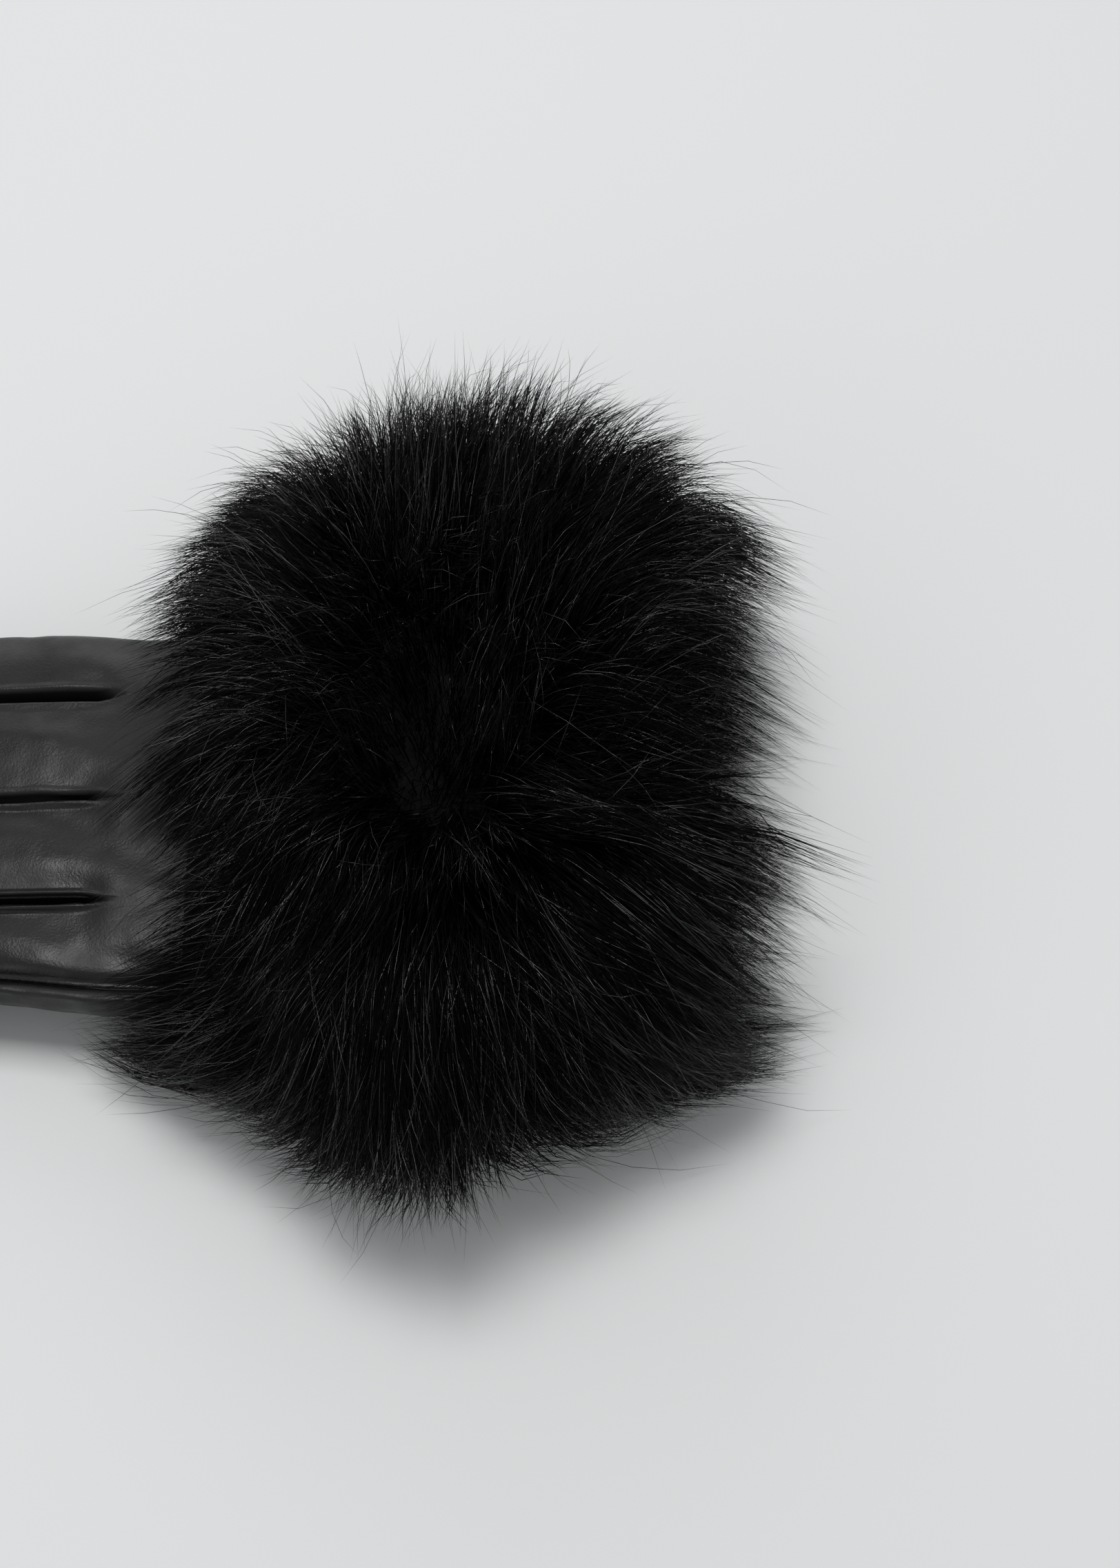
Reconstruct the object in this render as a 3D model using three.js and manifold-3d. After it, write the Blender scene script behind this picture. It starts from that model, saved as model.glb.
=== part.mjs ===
// A left-hand dress glove of black leather with a deep fur cuff, lying back up on a flat surface.
// Millimetres, +Z up. The fingers point to -X, the mouth of the cuff opens to +X, and the index
// finger is on the +Y side. The glove is worked out from the middle of the cuff's band, and at the
// end the whole of it is moved so that the origin is at the middle of what it rests on.
import * as THREE from "three";
import { mergeVertices } from "three/addons/utils/BufferGeometryUtils.js";
import Module from "manifold-3d";

const wasm = await Module();
wasm.setup();

// Leather
const WALL = 1.6;
const GAP = 0.3;
const FLOOR_PRESS = 0.4;
const HAND_SIDES = 24;
const HAND_SQUARENESS = 2.5;
const FINGER_SIDES = 12;
const THUMB_SIDES = 14;
const FINGER_SQUARENESS = 2.3;
const FINGER_TIP_ROUND = 12;
const FINGER_TIP_STATIONS = [0.02, 0.12, 0.4, 1];
const FINGER_ROOT_LAP = 16;
const FINGER_ROOT_BOTTOM = 7.8;
const FINGER_FLAT_FROM = 0.75;
const SMALLEST_HALF = 0.15;
const HEM_OPENING = 10;
const KNUCKLE_END_FROM = -103.5;

// The hand, a row for each section from the hem inside the cuff to the roots of the fingers.
const HAND_SECTIONS = [
  { x: -17.5, far: 41.5, near: 45.0, bottom: 8.8, top: 26.4 },
  { x: -37.5, far: 42.5, near: 46.0, bottom: 8.8, top: 26.8 },
  { x: -57.5, far: 43.2, near: 46.0, bottom: 8.8, top: 26.9 },
  { x: -69.5, far: 43.7, near: 45.3, bottom: 8.8, top: 26.7 },
  { x: -80.0, far: 44.0, near: 43.6, bottom: 8.8, top: 26.3 },
  { x: -91.5, far: 44.2, near: 42.6, bottom: 8.8, top: 25.6 },
  { x: -98.0, far: 44.2, near: 42.6, bottom: 8.8, top: 24.9 },
  { x: -103.5, far: 43.8, near: 41.8, bottom: 8.7, top: 24.1 },
  { x: -108.0, far: 42.8, near: 29.0, bottom: 8.4, top: 23.2 },
  { x: -113.5, far: 32.0, near: 15.0, bottom: 8.0, top: 22.2 },
  { x: -117.5, far: 13.0, near: 12.0, bottom: 7.6, top: 21.4 },
];

// The fingers, from the little finger to the index finger. The root is where the finger leaves
// the hand, and width and thick are its size there and at its tip. A finger slopes down from the
// hand to the surface, and its last quarter lies flat.
const FINGERS = [
  {
    name: "little",
    root: { x: -103, y: -32.4 },
    tip: { x: -165.5, y: -36.4 },
    width: [20.2, 19.2],
    thick: [14.0, 11.6],
  },
  {
    name: "ring",
    root: { x: -110, y: -11.2 },
    tip: { x: -187.5, y: -12.4 },
    width: [21.2, 20.4],
    thick: [14.8, 12.4],
  },
  {
    name: "middle",
    root: { x: -115, y: 11.0 },
    tip: { x: -195.5, y: 12.4 },
    width: [21.6, 20.8],
    thick: [15.2, 12.8],
  },
  {
    name: "index",
    root: { x: -110, y: 33.2 },
    tip: { x: -183.5, y: 37.2 },
    width: [21.6, 20.8],
    thick: [15.0, 12.6],
  },
];

// The thumb is a tube of its own. It hangs from the index side of the palm by a short neck and
// is folded in under the palm, where the weight of the hand flattens it.
const THUMB = {
  root: { x: -81, y: 31 },
  tip: { x: -121, y: -3 },
  halfWidth: [11.5, 9.5],
  halfHeight: 4.4,
  middleZ: 4.0,
  neckHalfLength: 12.5,
  neckHalfWidth: 10.5,
  neckTop: 22,
  tipRound: 9,
  tipStations: [0, 0.45, 0.85, 0.98],
};

// The join of the back and the palm: its height at the index side and at the little-finger side.
const JOIN_HEIGHTS = [
  { x: 0, far: 14.6, near: 21.4 },
  { x: -57.5, far: 14.4, near: 20.8 },
  { x: -91.5, far: 14.0, near: 19.8 },
  { x: -106.0, far: 14.2, near: 15.8 },
  { x: -130.0, far: 13.0, near: 9.2 },
  { x: -150.0, far: 9.6, near: 5.6 },
  { x: -175.0, far: 6.2, near: 6.0 },
  { x: -205.0, far: 6.0, near: 6.0 },
];
const JOIN_REACH = 90;
const HAND_HALF_WIDTH = 44;
const SIDE_WELT = {
  radius: 1.5,
  sides: 5,
  fromX: -18,
  toX: -156,
  steps: 9,
  wave: 0.35,
  drop: 0.7,
  out: 0.25,
  littleFrom: 4,
};

// The three raised lines on the back, each a pair of ridges with a slot between them.
const POINT_LINES = [
  { y: 26.0, fromX: -62, toX: -104 },
  { y: 1.0, fromX: -60, toX: -108 },
  { y: -22.0, fromX: -58, toX: -102 },
];
const POINT_RIDGE = { radius: 1.25, apart: 3.0, rise: 0.35, sides: 5, steps: 4 };
const RIDGE_END_SIZE = 0.3;

// The side strips between the fingers, each running from one fingertip to the next.
const STRIP_HALF_HEIGHT = 3.6;
const STRIP_TIP_HALF_HEIGHT = 1.0;
const STRIP_STOPS_BEFORE_TIP = 5;
const STRIP_TAPER = 16;
const STRIP_BEHIND_CROTCH = 4.5;
const STRIP_PAST_MIDDLE = 1;
const STRIP_PAST_GAP = 0.2;

// The cuff's band, and the open bore that the wrist goes through.
const BAND_HALF_LENGTH = 27.5;
const BAND = { far: 44.5, near: 48.0, bottom: 5.5, top: 30.0 };
const BORE_SECTIONS = [
  { x: -18.5, far: 40.0, near: 43.0, bottom: 10.4, top: 24.8 },
  { x: 0.0, far: 41.0, near: 44.0, bottom: 9.0, top: 28.5 },
  { x: 27.5, far: 41.5, near: 44.5, bottom: 8.0, top: 31.0 },
  { x: 52.0, far: 42.0, near: 45.5, bottom: 8.0, top: 34.0 },
  { x: 80.0, far: 43.0, near: 47.0, bottom: 8.0, top: 37.0 },
];
const SLEEVE_GAP = 0.35;

// The surface that the glove lies on, which all the solids are cut flat at.
const FLOOR_HALF_SIZE = 400;
const FLOOR_DEPTH = 100;

// The outer form of the fur, a row for each section: how far its lock tips reach to each side and
// up. The near side hangs down a little further, and the fur under the band is pressed flat.
const FUR_SECTIONS = [
  { x: -69, far: 46, near: 48, top: 31 },
  { x: -60, far: 57, near: 52, top: 44 },
  { x: -42, far: 75, near: 70, top: 62 },
  { x: -22, far: 85, near: 85, top: 76 },
  { x: 0, far: 92, near: 95, top: 82 },
  { x: 20, far: 91, near: 86, top: 82 },
  { x: 40, far: 86, near: 73, top: 77 },
  { x: 58, far: 74, near: 64, top: 66 },
  { x: 68, far: 59, near: 59, top: 55 },
  { x: 74, far: 48, near: 54, top: 46 },
];
const FUR_SIDES = 20;
const FUR_SQUARENESS = 2.2;
const FUR_SUNK = -9;
const PILE_SHARE = 0.7;
const PILE_LENGTH_SHARE = 0.88;
const PILE_LUMPS = 0.03;
const LOCK = {
  sides: 3,
  width: 25,
  thickness: 19,
  tipWidth: 1.4,
  reachVaries: 0.05,
  xVaries: 3,
  angleVaries: 0.2,
  rowOffset: 0.25,
  seedsPerRow: 31,
  secondSeed: 500,
  bend: { x: 0.4, y: 0.62, z: 0.66 },
  rings: [
    { along: 0.4, size: 1 },
    { along: 0.76, size: 0.78 },
    { along: 1, size: 0 },
  ],
};
const LOCK_ROWS = [
  { x: -66, reach: 0.86, count: 9, from: -14, to: 194 },
  { x: -48, reach: 1, count: 12, from: -24, to: 204 },
  { x: -27, reach: 1, count: 14, from: -27, to: 207 },
  { x: -5, reach: 1, count: 15, from: -28, to: 208 },
  { x: 18, reach: 1, count: 14, from: -28, to: 208 },
  { x: 41, reach: 1, count: 13, from: -26, to: 206 },
  { x: 60, reach: 1, count: 12, from: -25, to: 205 },
  { x: 74, reach: 0.8, count: 8, from: -20, to: 200 },
];

// A number from -1 to 1 that looks random and is always the same for the same seed.
function wobble(seed) {
  const wave = Math.sin(seed * 12.9898 + 4.1) * 43758.5453;
  return 2 * (wave - Math.floor(wave)) - 1;
}

function mix(a, b, share) {
  return a + (b - a) * share;
}

// The row of a table at any x, in a straight line between the two rows beside it.
function rowAt(table, x) {
  const last = table.length - 1;
  const rising = table[last].x > table[0].x;
  const after = table.findIndex((row) => (rising ? row.x >= x : row.x <= x));
  if (after === 0) return { ...table[0], x };
  if (after < 0) return { ...table[last], x };
  const [a, b] = [table[after - 1], table[after]];
  const share = (x - a.x) / (b.x - a.x);
  return Object.fromEntries(Object.keys(a).map((key) => [key, mix(a[key], b[key], share)]));
}

// A table's row as a middle and two half sizes.
function ovalOf(row, inset = 0) {
  return {
    y: (row.far - row.near) / 2,
    z: (row.top + row.bottom) / 2,
    halfWidth: (row.far + row.near) / 2 - inset,
    halfHeight: (row.top - row.bottom) / 2 - inset,
  };
}

// One point of a squared oval round the X axis, at an angle from the +Y side.
function ovalPoint(x, oval, angle, squareness) {
  const power = 2 / squareness;
  const along = (value) => Math.sign(value) * Math.abs(value) ** power;
  return new THREE.Vector3(
    x,
    oval.y + oval.halfWidth * along(Math.cos(angle)),
    oval.z + oval.halfHeight * along(Math.sin(angle)),
  );
}

function ovalRing(x, oval, sides, squareness) {
  return Array.from({ length: sides }, (_, i) => ovalPoint(x, oval, (2 * Math.PI * i) / sides, squareness));
}

function middleOf(ring) {
  return ring.reduce((sum, p) => sum.add(p), new THREE.Vector3()).divideScalar(ring.length);
}

// A closed geometry over a row of rings, with a fan of triangles at each end.
function skin(rings) {
  const count = rings[0].length;
  const points = [...rings.flat(), middleOf(rings[0]), middleOf(rings[rings.length - 1])];
  const firstMiddle = count * rings.length;
  const lastStart = count * (rings.length - 1);
  const index = [];
  for (let i = 0; i < count; i++) {
    const next = (i + 1) % count;
    for (let start = 0; start < lastStart; start += count) {
      index.push(start + i, start + next, start + count + next);
      index.push(start + i, start + count + next, start + count + i);
    }
    index.push(firstMiddle, next, i);
    index.push(firstMiddle + 1, lastStart + i, lastStart + next);
  }
  const geometry = new THREE.BufferGeometry().setFromPoints(points);
  geometry.setIndex(index);
  return geometry;
}

// A closed geometry as a solid, turned the right way out.
function solidOf(geometry) {
  geometry.deleteAttribute("normal");
  geometry.deleteAttribute("uv");
  const merged = mergeVertices(geometry, 1e-4);
  const triVerts = new Uint32Array(merged.index.array);
  const build = () =>
    new wasm.Manifold(new wasm.Mesh({ numProp: 3, vertProperties: merged.attributes.position.array, triVerts }));
  const solid = build();
  if (solid.volume() > 0) return solid;
  for (let i = 0; i < triVerts.length; i += 3) [triVerts[i + 1], triVerts[i + 2]] = [triVerts[i + 2], triVerts[i + 1]];
  return build();
}

function skinSolid(rings) {
  return solidOf(skin(rings));
}

function joined(solids) {
  return solids.reduce((sum, solid) => sum.add(solid));
}

function boxSolid(low, high) {
  const size = high.clone().sub(low);
  const geometry = new THREE.BoxGeometry(size.x, size.y, size.z);
  geometry.translate((low.x + high.x) / 2, (low.y + high.y) / 2, (low.z + high.z) / 2);
  return solidOf(geometry);
}

// The hand without its fingers. The inset moves every wall inwards, and the hem stays where it
// is unless it is moved on, which opens the hollow at the wrist.
function handBody(inset, hemMove = 0) {
  const rings = HAND_SECTIONS.map((row, i) => {
    const endMove = row.x <= KNUCKLE_END_FROM ? inset : 0;
    const x = row.x + endMove + (i === 0 ? hemMove : 0);
    return ovalRing(x, ovalOf(row, inset), HAND_SIDES, HAND_SQUARENESS);
  });
  return skinSolid(rings);
}

// The middle, width and thickness of a finger at a distance from its tip.
function fingerAt(finger, x, inset) {
  const share = (x - finger.root.x) / (finger.tip.x - finger.root.x);
  const width = mix(finger.width[0], finger.width[1], Math.max(share, 0));
  const thick = mix(finger.thick[0], finger.thick[1], Math.max(share, 0));
  const left = Math.max(x - finger.tip.x - inset, 0);
  const round = FINGER_TIP_ROUND - inset;
  const close = left >= round ? 1 : Math.sqrt(1 - (1 - left / round) ** 2);
  const bottom = mix(FINGER_ROOT_BOTTOM, -FLOOR_PRESS, Math.min(share / FINGER_FLAT_FROM, 1));
  return {
    y: mix(finger.root.y, finger.tip.y, share),
    z: bottom + thick / 2,
    halfWidth: Math.max((width / 2 - inset) * close, SMALLEST_HALF),
    halfHeight: Math.max((thick / 2 - inset) * close, SMALLEST_HALF),
  };
}

function fingerBody(finger, inset, lap) {
  const tip = finger.tip.x + inset;
  const round = FINGER_TIP_ROUND - inset;
  const stations = FINGER_TIP_STATIONS.map((share) => tip + share * round);
  const rootX = finger.root.x + lap;
  const flatX = mix(finger.root.x, finger.tip.x, FINGER_FLAT_FROM);
  const rings = [...stations, flatX, rootX].map((x) =>
    ovalRing(x, fingerAt(finger, x, inset), FINGER_SIDES, FINGER_SQUARENESS),
  );
  return skinSolid(rings);
}

// The thumb's tube with its neck. The inset moves every wall inwards.
function thumbBody(inset) {
  const { root, tip, halfWidth, middleZ, tipRound } = THUMB;
  const start = new THREE.Vector3(root.x, root.y, middleZ);
  const end = new THREE.Vector3(tip.x, tip.y, middleZ);
  const length = start.distanceTo(end);
  const forward = end.clone().sub(start).normalize();
  const across = new THREE.Vector3(-forward.y, forward.x, 0);
  const up = new THREE.Vector3(0, 0, 1);
  const round = tipRound - inset;
  const stations = THUMB.tipStations.map((share) => length - inset - round + share * round);
  const tube = [0, ...stations].map((along) => {
    const left = Math.min((length - inset - along) / round, 1);
    const close = Math.sqrt(1 - (1 - left) ** 2);
    const wide = (mix(halfWidth[0], halfWidth[1], along / length) - inset) * close;
    const high = (THUMB.halfHeight - inset) * close;
    return flatRing(start.clone().addScaledVector(forward, along), across, wide, up, high);
  });
  const neckLong = THUMB.neckHalfLength - inset;
  const neckWide = THUMB.neckHalfWidth - inset;
  const neck = [middleZ - THUMB.halfHeight + inset, THUMB.neckTop].map((z) =>
    flatRing(new THREE.Vector3(root.x, root.y, z), forward, neckLong, across, neckWide),
  );
  return skinSolid(tube).add(skinSolid(neck));
}

// A squared oval in the plane of two directions.
function flatRing(middle, right, halfWidth, up, halfHeight) {
  const oval = { y: 0, z: 0, halfWidth, halfHeight };
  return ovalRing(0, oval, THUMB_SIDES, FINGER_SQUARENESS).map((p) =>
    middle.clone().addScaledVector(right, p.y).addScaledVector(up, p.z),
  );
}

// A space along X with a flat top and bottom. Each row gives its two sides and its two heights.
function trough(rows) {
  return skinSolid(
    rows.map((row) => [
      new THREE.Vector3(row.x, row.y0, row.bottom0 ?? row.bottom),
      new THREE.Vector3(row.x, row.y1, row.bottom1 ?? row.bottom),
      new THREE.Vector3(row.x, row.y1, row.top1 ?? row.top),
      new THREE.Vector3(row.x, row.y0, row.top0 ?? row.top),
    ]),
  );
}

// All that lies above the join of the back and the palm, moved up or down a little.
function aboveJoin(lift) {
  const rows = JOIN_HEIGHTS.map((row) => {
    const slope = (row.far - row.near) / (2 * HAND_HALF_WIDTH);
    const heightAt = (y) => (row.far + row.near) / 2 + slope * y + lift;
    const bottoms = { bottom0: heightAt(-JOIN_REACH), bottom1: heightAt(JOIN_REACH) };
    return { x: row.x, y0: -JOIN_REACH, y1: JOIN_REACH, top: JOIN_REACH, ...bottoms };
  });
  return trough(rows);
}

// The space that one side strip takes, along one finger, from its middle line to the gap.
function stripAlongFinger(finger, gapY, crotchX, grow) {
  const endX = finger.tip.x + STRIP_STOPS_BEFORE_TIP - grow;
  const stations = [crotchX + STRIP_BEHIND_CROTCH + grow, endX + STRIP_TAPER, endX];
  const heights = [STRIP_HALF_HEIGHT, STRIP_HALF_HEIGHT, STRIP_TIP_HALF_HEIGHT];
  const rows = stations.map((x, i) => {
    const middle = fingerAt(finger, x, 0);
    const inward = Math.sign(middle.y - gapY);
    return {
      x,
      y0: middle.y + inward * (grow - STRIP_PAST_MIDDLE),
      y1: gapY - inward * STRIP_PAST_GAP,
      bottom: middle.z - heights[i] - grow,
      top: middle.z + heights[i] + grow,
    };
  });
  return trough(rows);
}

function stripSpace(fingerA, fingerB, grow) {
  const gapY = (fingerA.root.y + fingerB.root.y + (fingerA.width[0] - fingerB.width[0]) / 2) / 2;
  const crotchX = HAND_SECTIONS.slice()
    .reverse()
    .find((row) => (gapY > 0 ? row.far : row.near) > Math.abs(gapY)).x;
  return stripAlongFinger(fingerA, gapY, crotchX, grow).add(stripAlongFinger(fingerB, gapY, crotchX, grow));
}

// A small round cord of leather along X, through the given points.
function ridge(points, radius, sides) {
  const rings = points.map((p, i) => {
    const oval = { y: p.y, z: p.z, halfWidth: radius, halfHeight: radius };
    const ends = i === 0 || i === points.length - 1;
    if (ends) oval.halfWidth = oval.halfHeight = radius * RIDGE_END_SIZE;
    return ovalRing(p.x, oval, sides, 2);
  });
  return skinSolid(rings);
}

function handTop(x, y) {
  const oval = ovalOf(rowAt(HAND_SECTIONS, x));
  const share = Math.min(Math.abs(y - oval.y) / oval.halfWidth, 1);
  return oval.z + oval.halfHeight * (1 - share ** HAND_SQUARENESS) ** (1 / HAND_SQUARENESS);
}

function pointLine(line, grow = 0) {
  const sides = [-1, 1].map((side) => {
    const y = line.y + (side * POINT_RIDGE.apart) / 2;
    const points = Array.from({ length: POINT_RIDGE.steps + 1 }, (_, i) => {
      const share = i / POINT_RIDGE.steps;
      const x = mix(line.fromX, line.toX, share);
      const sink = i === 0 || i === POINT_RIDGE.steps ? POINT_RIDGE.radius : 0;
      return new THREE.Vector3(x, y, handTop(x, y) + POINT_RIDGE.rise - POINT_RIDGE.radius / 2 - sink);
    });
    return ridge(points, POINT_RIDGE.radius + grow, POINT_RIDGE.sides);
  });
  return joined(sides);
}

// The near side of the hand or of the little finger at a height.
function nearSide(x, height) {
  const little = FINGERS[0];
  const onHand = x > little.root.x + SIDE_WELT.littleFrom;
  const oval = onHand ? ovalOf(rowAt(HAND_SECTIONS, x)) : fingerAt(little, x, 0);
  const squareness = onHand ? HAND_SQUARENESS : FINGER_SQUARENESS;
  const share = Math.min(Math.abs(height - oval.z) / oval.halfHeight, 1);
  return oval.y - oval.halfWidth * (1 - share ** squareness) ** (1 / squareness);
}

// The raised edge of the palm along the little-finger side, just under the join.
function sideWelt(grow = 0) {
  const { radius, sides, fromX, toX, steps, wave, drop, out } = SIDE_WELT;
  const points = Array.from({ length: steps + 1 }, (_, i) => {
    const x = mix(fromX, toX, i / steps);
    const z = rowAt(JOIN_HEIGHTS, x).near - radius * drop;
    return new THREE.Vector3(x, nearSide(x, z) + radius * out + wave * wobble(i), z);
  });
  return ridge(points, radius + grow, sides);
}

// The fur's outer form at x: an oval that is sunk under the floor, where it will be cut flat.
function furOval(x, share = 1) {
  const row = rowAt(FUR_SECTIONS, x);
  const reach = (key) => BAND[key] + (row[key] - BAND[key]) * share;
  const bottom = FUR_SUNK * share;
  return ovalOf({ far: reach("far"), near: reach("near"), top: reach("top"), bottom });
}

function furPile() {
  const first = FUR_SECTIONS[0].x * PILE_LENGTH_SHARE;
  const last = FUR_SECTIONS[FUR_SECTIONS.length - 1].x * PILE_LENGTH_SHARE;
  const stations = FUR_SECTIONS.map((row) => row.x * PILE_LENGTH_SHARE);
  const rings = stations.map((x, i) => {
    const oval = furOval(x / PILE_LENGTH_SHARE, PILE_SHARE);
    const ring = ovalRing(x, oval, FUR_SIDES, FUR_SQUARENESS);
    const inner = x > first && x < last;
    ring.forEach((p, k) => {
      const lump = inner ? 1 + PILE_LUMPS * wobble(i * FUR_SIDES + k) : 1;
      p.y = oval.y + (p.y - oval.y) * lump;
      p.z = oval.z + (p.z - oval.z) * lump;
    });
    return ring;
  });
  return skinSolid(rings);
}

// One lock: it leaves the band square to it, bends towards its end of the cuff and tapers to a
// tip on the fur's outer form.
function furLock(tipX, reach, angle, seed) {
  const end = FUR_SECTIONS[FUR_SECTIONS.length - 1].x;
  const rootX = (BAND_HALF_LENGTH * tipX) / end;
  const bandOval = ovalOf(BAND);
  const root = ovalPoint(rootX, bandOval, angle, FUR_SQUARENESS);
  const tip = ovalPoint(tipX, furOval(tipX, reach * (1 + LOCK.reachVaries * wobble(seed))), angle, FUR_SQUARENESS);
  tip.z = Math.max(tip.z, LOCK.tipWidth);
  const { bend } = LOCK;
  const middle = new THREE.Vector3(mix(rootX, tipX, bend.x), mix(root.y, tip.y, bend.y), mix(root.z, tip.z, bend.z));
  const path = new THREE.QuadraticBezierCurve3(root, middle, tip);
  const rings = LOCK.rings.map(({ along, size }) => {
    const at = path.getPoint(along);
    const forward = path.getTangent(along);
    const across = new THREE.Vector3(0, -Math.sin(angle), Math.cos(angle)).cross(forward).cross(forward).normalize();
    const through = across.clone().cross(forward);
    const width = mix(LOCK.tipWidth, LOCK.width, size);
    const thick = (width * LOCK.thickness) / LOCK.width;
    return Array.from({ length: LOCK.sides }, (_, i) => {
      const turn = (2 * Math.PI * i) / LOCK.sides;
      return at
        .clone()
        .addScaledVector(across, (Math.cos(turn) * width) / 2)
        .addScaledVector(through, (Math.sin(turn) * thick) / 2);
    });
  });
  return skinSolid(rings);
}

function furLocks() {
  return LOCK_ROWS.flatMap((row, r) =>
    Array.from({ length: row.count }, (_, i) => {
      const seed = r * LOCK.seedsPerRow + i;
      const step = (row.to - row.from) / (row.count - 1);
      const offset = r % 2 ? LOCK.rowOffset : -LOCK.rowOffset;
      const degrees = row.from + step * (i + offset + LOCK.angleVaries * wobble(seed));
      const tipX = row.x + LOCK.xVaries * wobble(seed + LOCK.secondSeed);
      return furLock(tipX, row.reach, THREE.MathUtils.degToRad(degrees), seed);
    }),
  );
}

// The bore of the band: a sleeve over the hem of the hand, then the hollow on to the mouth.
function cuffBore() {
  const rings = BORE_SECTIONS.map((row) => ovalRing(row.x, ovalOf(row), HAND_SIDES, HAND_SQUARENESS));
  return skinSolid(rings);
}

const floor = boxSolid(
  new THREE.Vector3(-FLOOR_HALF_SIZE, -FLOOR_HALF_SIZE, -FLOOR_DEPTH),
  new THREE.Vector3(FLOOR_HALF_SIZE, FLOOR_HALF_SIZE, 0),
);

// The whole hand as one leather shell, before it is parted into its pieces.
const handOutside = joined([handBody(0), ...FINGERS.map((finger) => fingerBody(finger, 0, FINGER_ROOT_LAP))]);
const handInside = joined([
  handBody(WALL, HEM_OPENING),
  ...FINGERS.map((finger) => fingerBody(finger, WALL, FINGER_ROOT_LAP + WALL)),
]);
const raised = (grow) => joined([...POINT_LINES.map((line) => pointLine(line, grow)), sideWelt(grow)]);
const thumbHollow = thumbBody(WALL);
const shell = handOutside.add(raised(0)).subtract(handInside).subtract(thumbHollow).subtract(floor);

const gaps = [
  { name: "fourchette_little_ring", a: FINGERS[0], b: FINGERS[1] },
  { name: "fourchette_ring_middle", a: FINGERS[1], b: FINGERS[2] },
  { name: "fourchette_middle_index", a: FINGERS[2], b: FINGERS[3] },
];
const strips = gaps.map((gap) => ({ name: gap.name, solid: shell.intersect(stripSpace(gap.a, gap.b, 0)) }));
const panels = gaps.reduce((rest, gap) => rest.subtract(stripSpace(gap.a, gap.b, GAP)), shell);
const back = panels.intersect(aboveJoin(GAP / 2));
const palm = panels.subtract(aboveJoin(-GAP / 2));

const thumb = thumbBody(0).subtract(thumbHollow).subtract(handBody(-GAP)).subtract(floor);

const fur = joined([furPile(), ...furLocks()])
  .subtract(handBody(-SLEEVE_GAP, SLEEVE_GAP))
  .subtract(raised(SLEEVE_GAP))
  .subtract(cuffBore())
  .subtract(floor);

// The largest piece of a solid, without the slivers that a cut can leave.
function largest(solid) {
  const pieces = solid.decompose();
  return pieces.reduce((best, piece) => (piece.volume() > best.volume() ? piece : best));
}

const leather = { color: 0x1b1b1d, roughness: 0.42, metalness: 0 };
const furLook = { color: 0x0c0c0d, roughness: 0.9, metalness: 0 };

function meshOf(name, solid, look) {
  const { vertProperties, triVerts } = largest(solid).getMesh();
  const geometry = new THREE.BufferGeometry();
  geometry.setAttribute("position", new THREE.BufferAttribute(new Float32Array(vertProperties), 3));
  geometry.setIndex(new THREE.BufferAttribute(new Uint32Array(triVerts), 1));
  geometry.computeVertexNormals();
  const mesh = new THREE.Mesh(geometry, new THREE.MeshStandardMaterial(look));
  mesh.name = name;
  return mesh;
}

const glove = new THREE.Group();
glove.name = "glove";
glove.add(meshOf("hand_back", back, leather));
glove.add(meshOf("hand_palm", palm, leather));
for (const strip of strips) glove.add(meshOf(strip.name, strip.solid, leather));
glove.add(meshOf("thumb", thumb, leather));
glove.add(meshOf("fur_cuff", fur, furLook));

const bounds = new THREE.Box3().setFromObject(glove);
const centre = bounds.getCenter(new THREE.Vector3());
glove.position.set(-centre.x, -centre.y, -bounds.min.z);

export default glove;
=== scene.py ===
# %% [markdown]
# # A leather glove with a deep fur cuff
#
# The real glove is a thin black leather hand, cut and sewn from flat panels, with a band of long
# fur pile round the wrist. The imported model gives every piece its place. This lesson makes the
# surfaces that the camera sees: smooth leather panels with raised lines and seams, and a cuff of
# many thousand single hairs gathered into locks.

import bmesh
import bpy
import numpy as np
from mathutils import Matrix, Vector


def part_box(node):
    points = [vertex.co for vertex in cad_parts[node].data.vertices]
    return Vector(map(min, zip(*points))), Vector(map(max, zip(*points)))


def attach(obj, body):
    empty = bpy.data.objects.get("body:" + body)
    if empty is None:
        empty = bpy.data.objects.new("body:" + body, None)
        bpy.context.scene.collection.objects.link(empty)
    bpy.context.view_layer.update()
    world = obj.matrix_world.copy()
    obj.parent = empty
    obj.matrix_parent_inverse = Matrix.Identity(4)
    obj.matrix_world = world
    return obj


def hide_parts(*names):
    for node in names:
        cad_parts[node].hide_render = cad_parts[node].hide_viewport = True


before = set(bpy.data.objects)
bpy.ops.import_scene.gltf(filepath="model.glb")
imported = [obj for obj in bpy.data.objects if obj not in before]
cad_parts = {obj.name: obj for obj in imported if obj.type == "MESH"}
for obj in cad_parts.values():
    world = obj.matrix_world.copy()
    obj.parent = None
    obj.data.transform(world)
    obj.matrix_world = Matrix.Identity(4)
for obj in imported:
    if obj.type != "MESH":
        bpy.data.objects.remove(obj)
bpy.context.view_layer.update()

# %% [markdown]
# ## Where the glove lies
#
# All the shapes below are worked out in millimetres from the middle of the cuff's band: x runs
# from the fingertips to the mouth of the cuff, y to the index finger's side and z up. The hand's
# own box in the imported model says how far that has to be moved, so nothing is fitted by eye.

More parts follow.
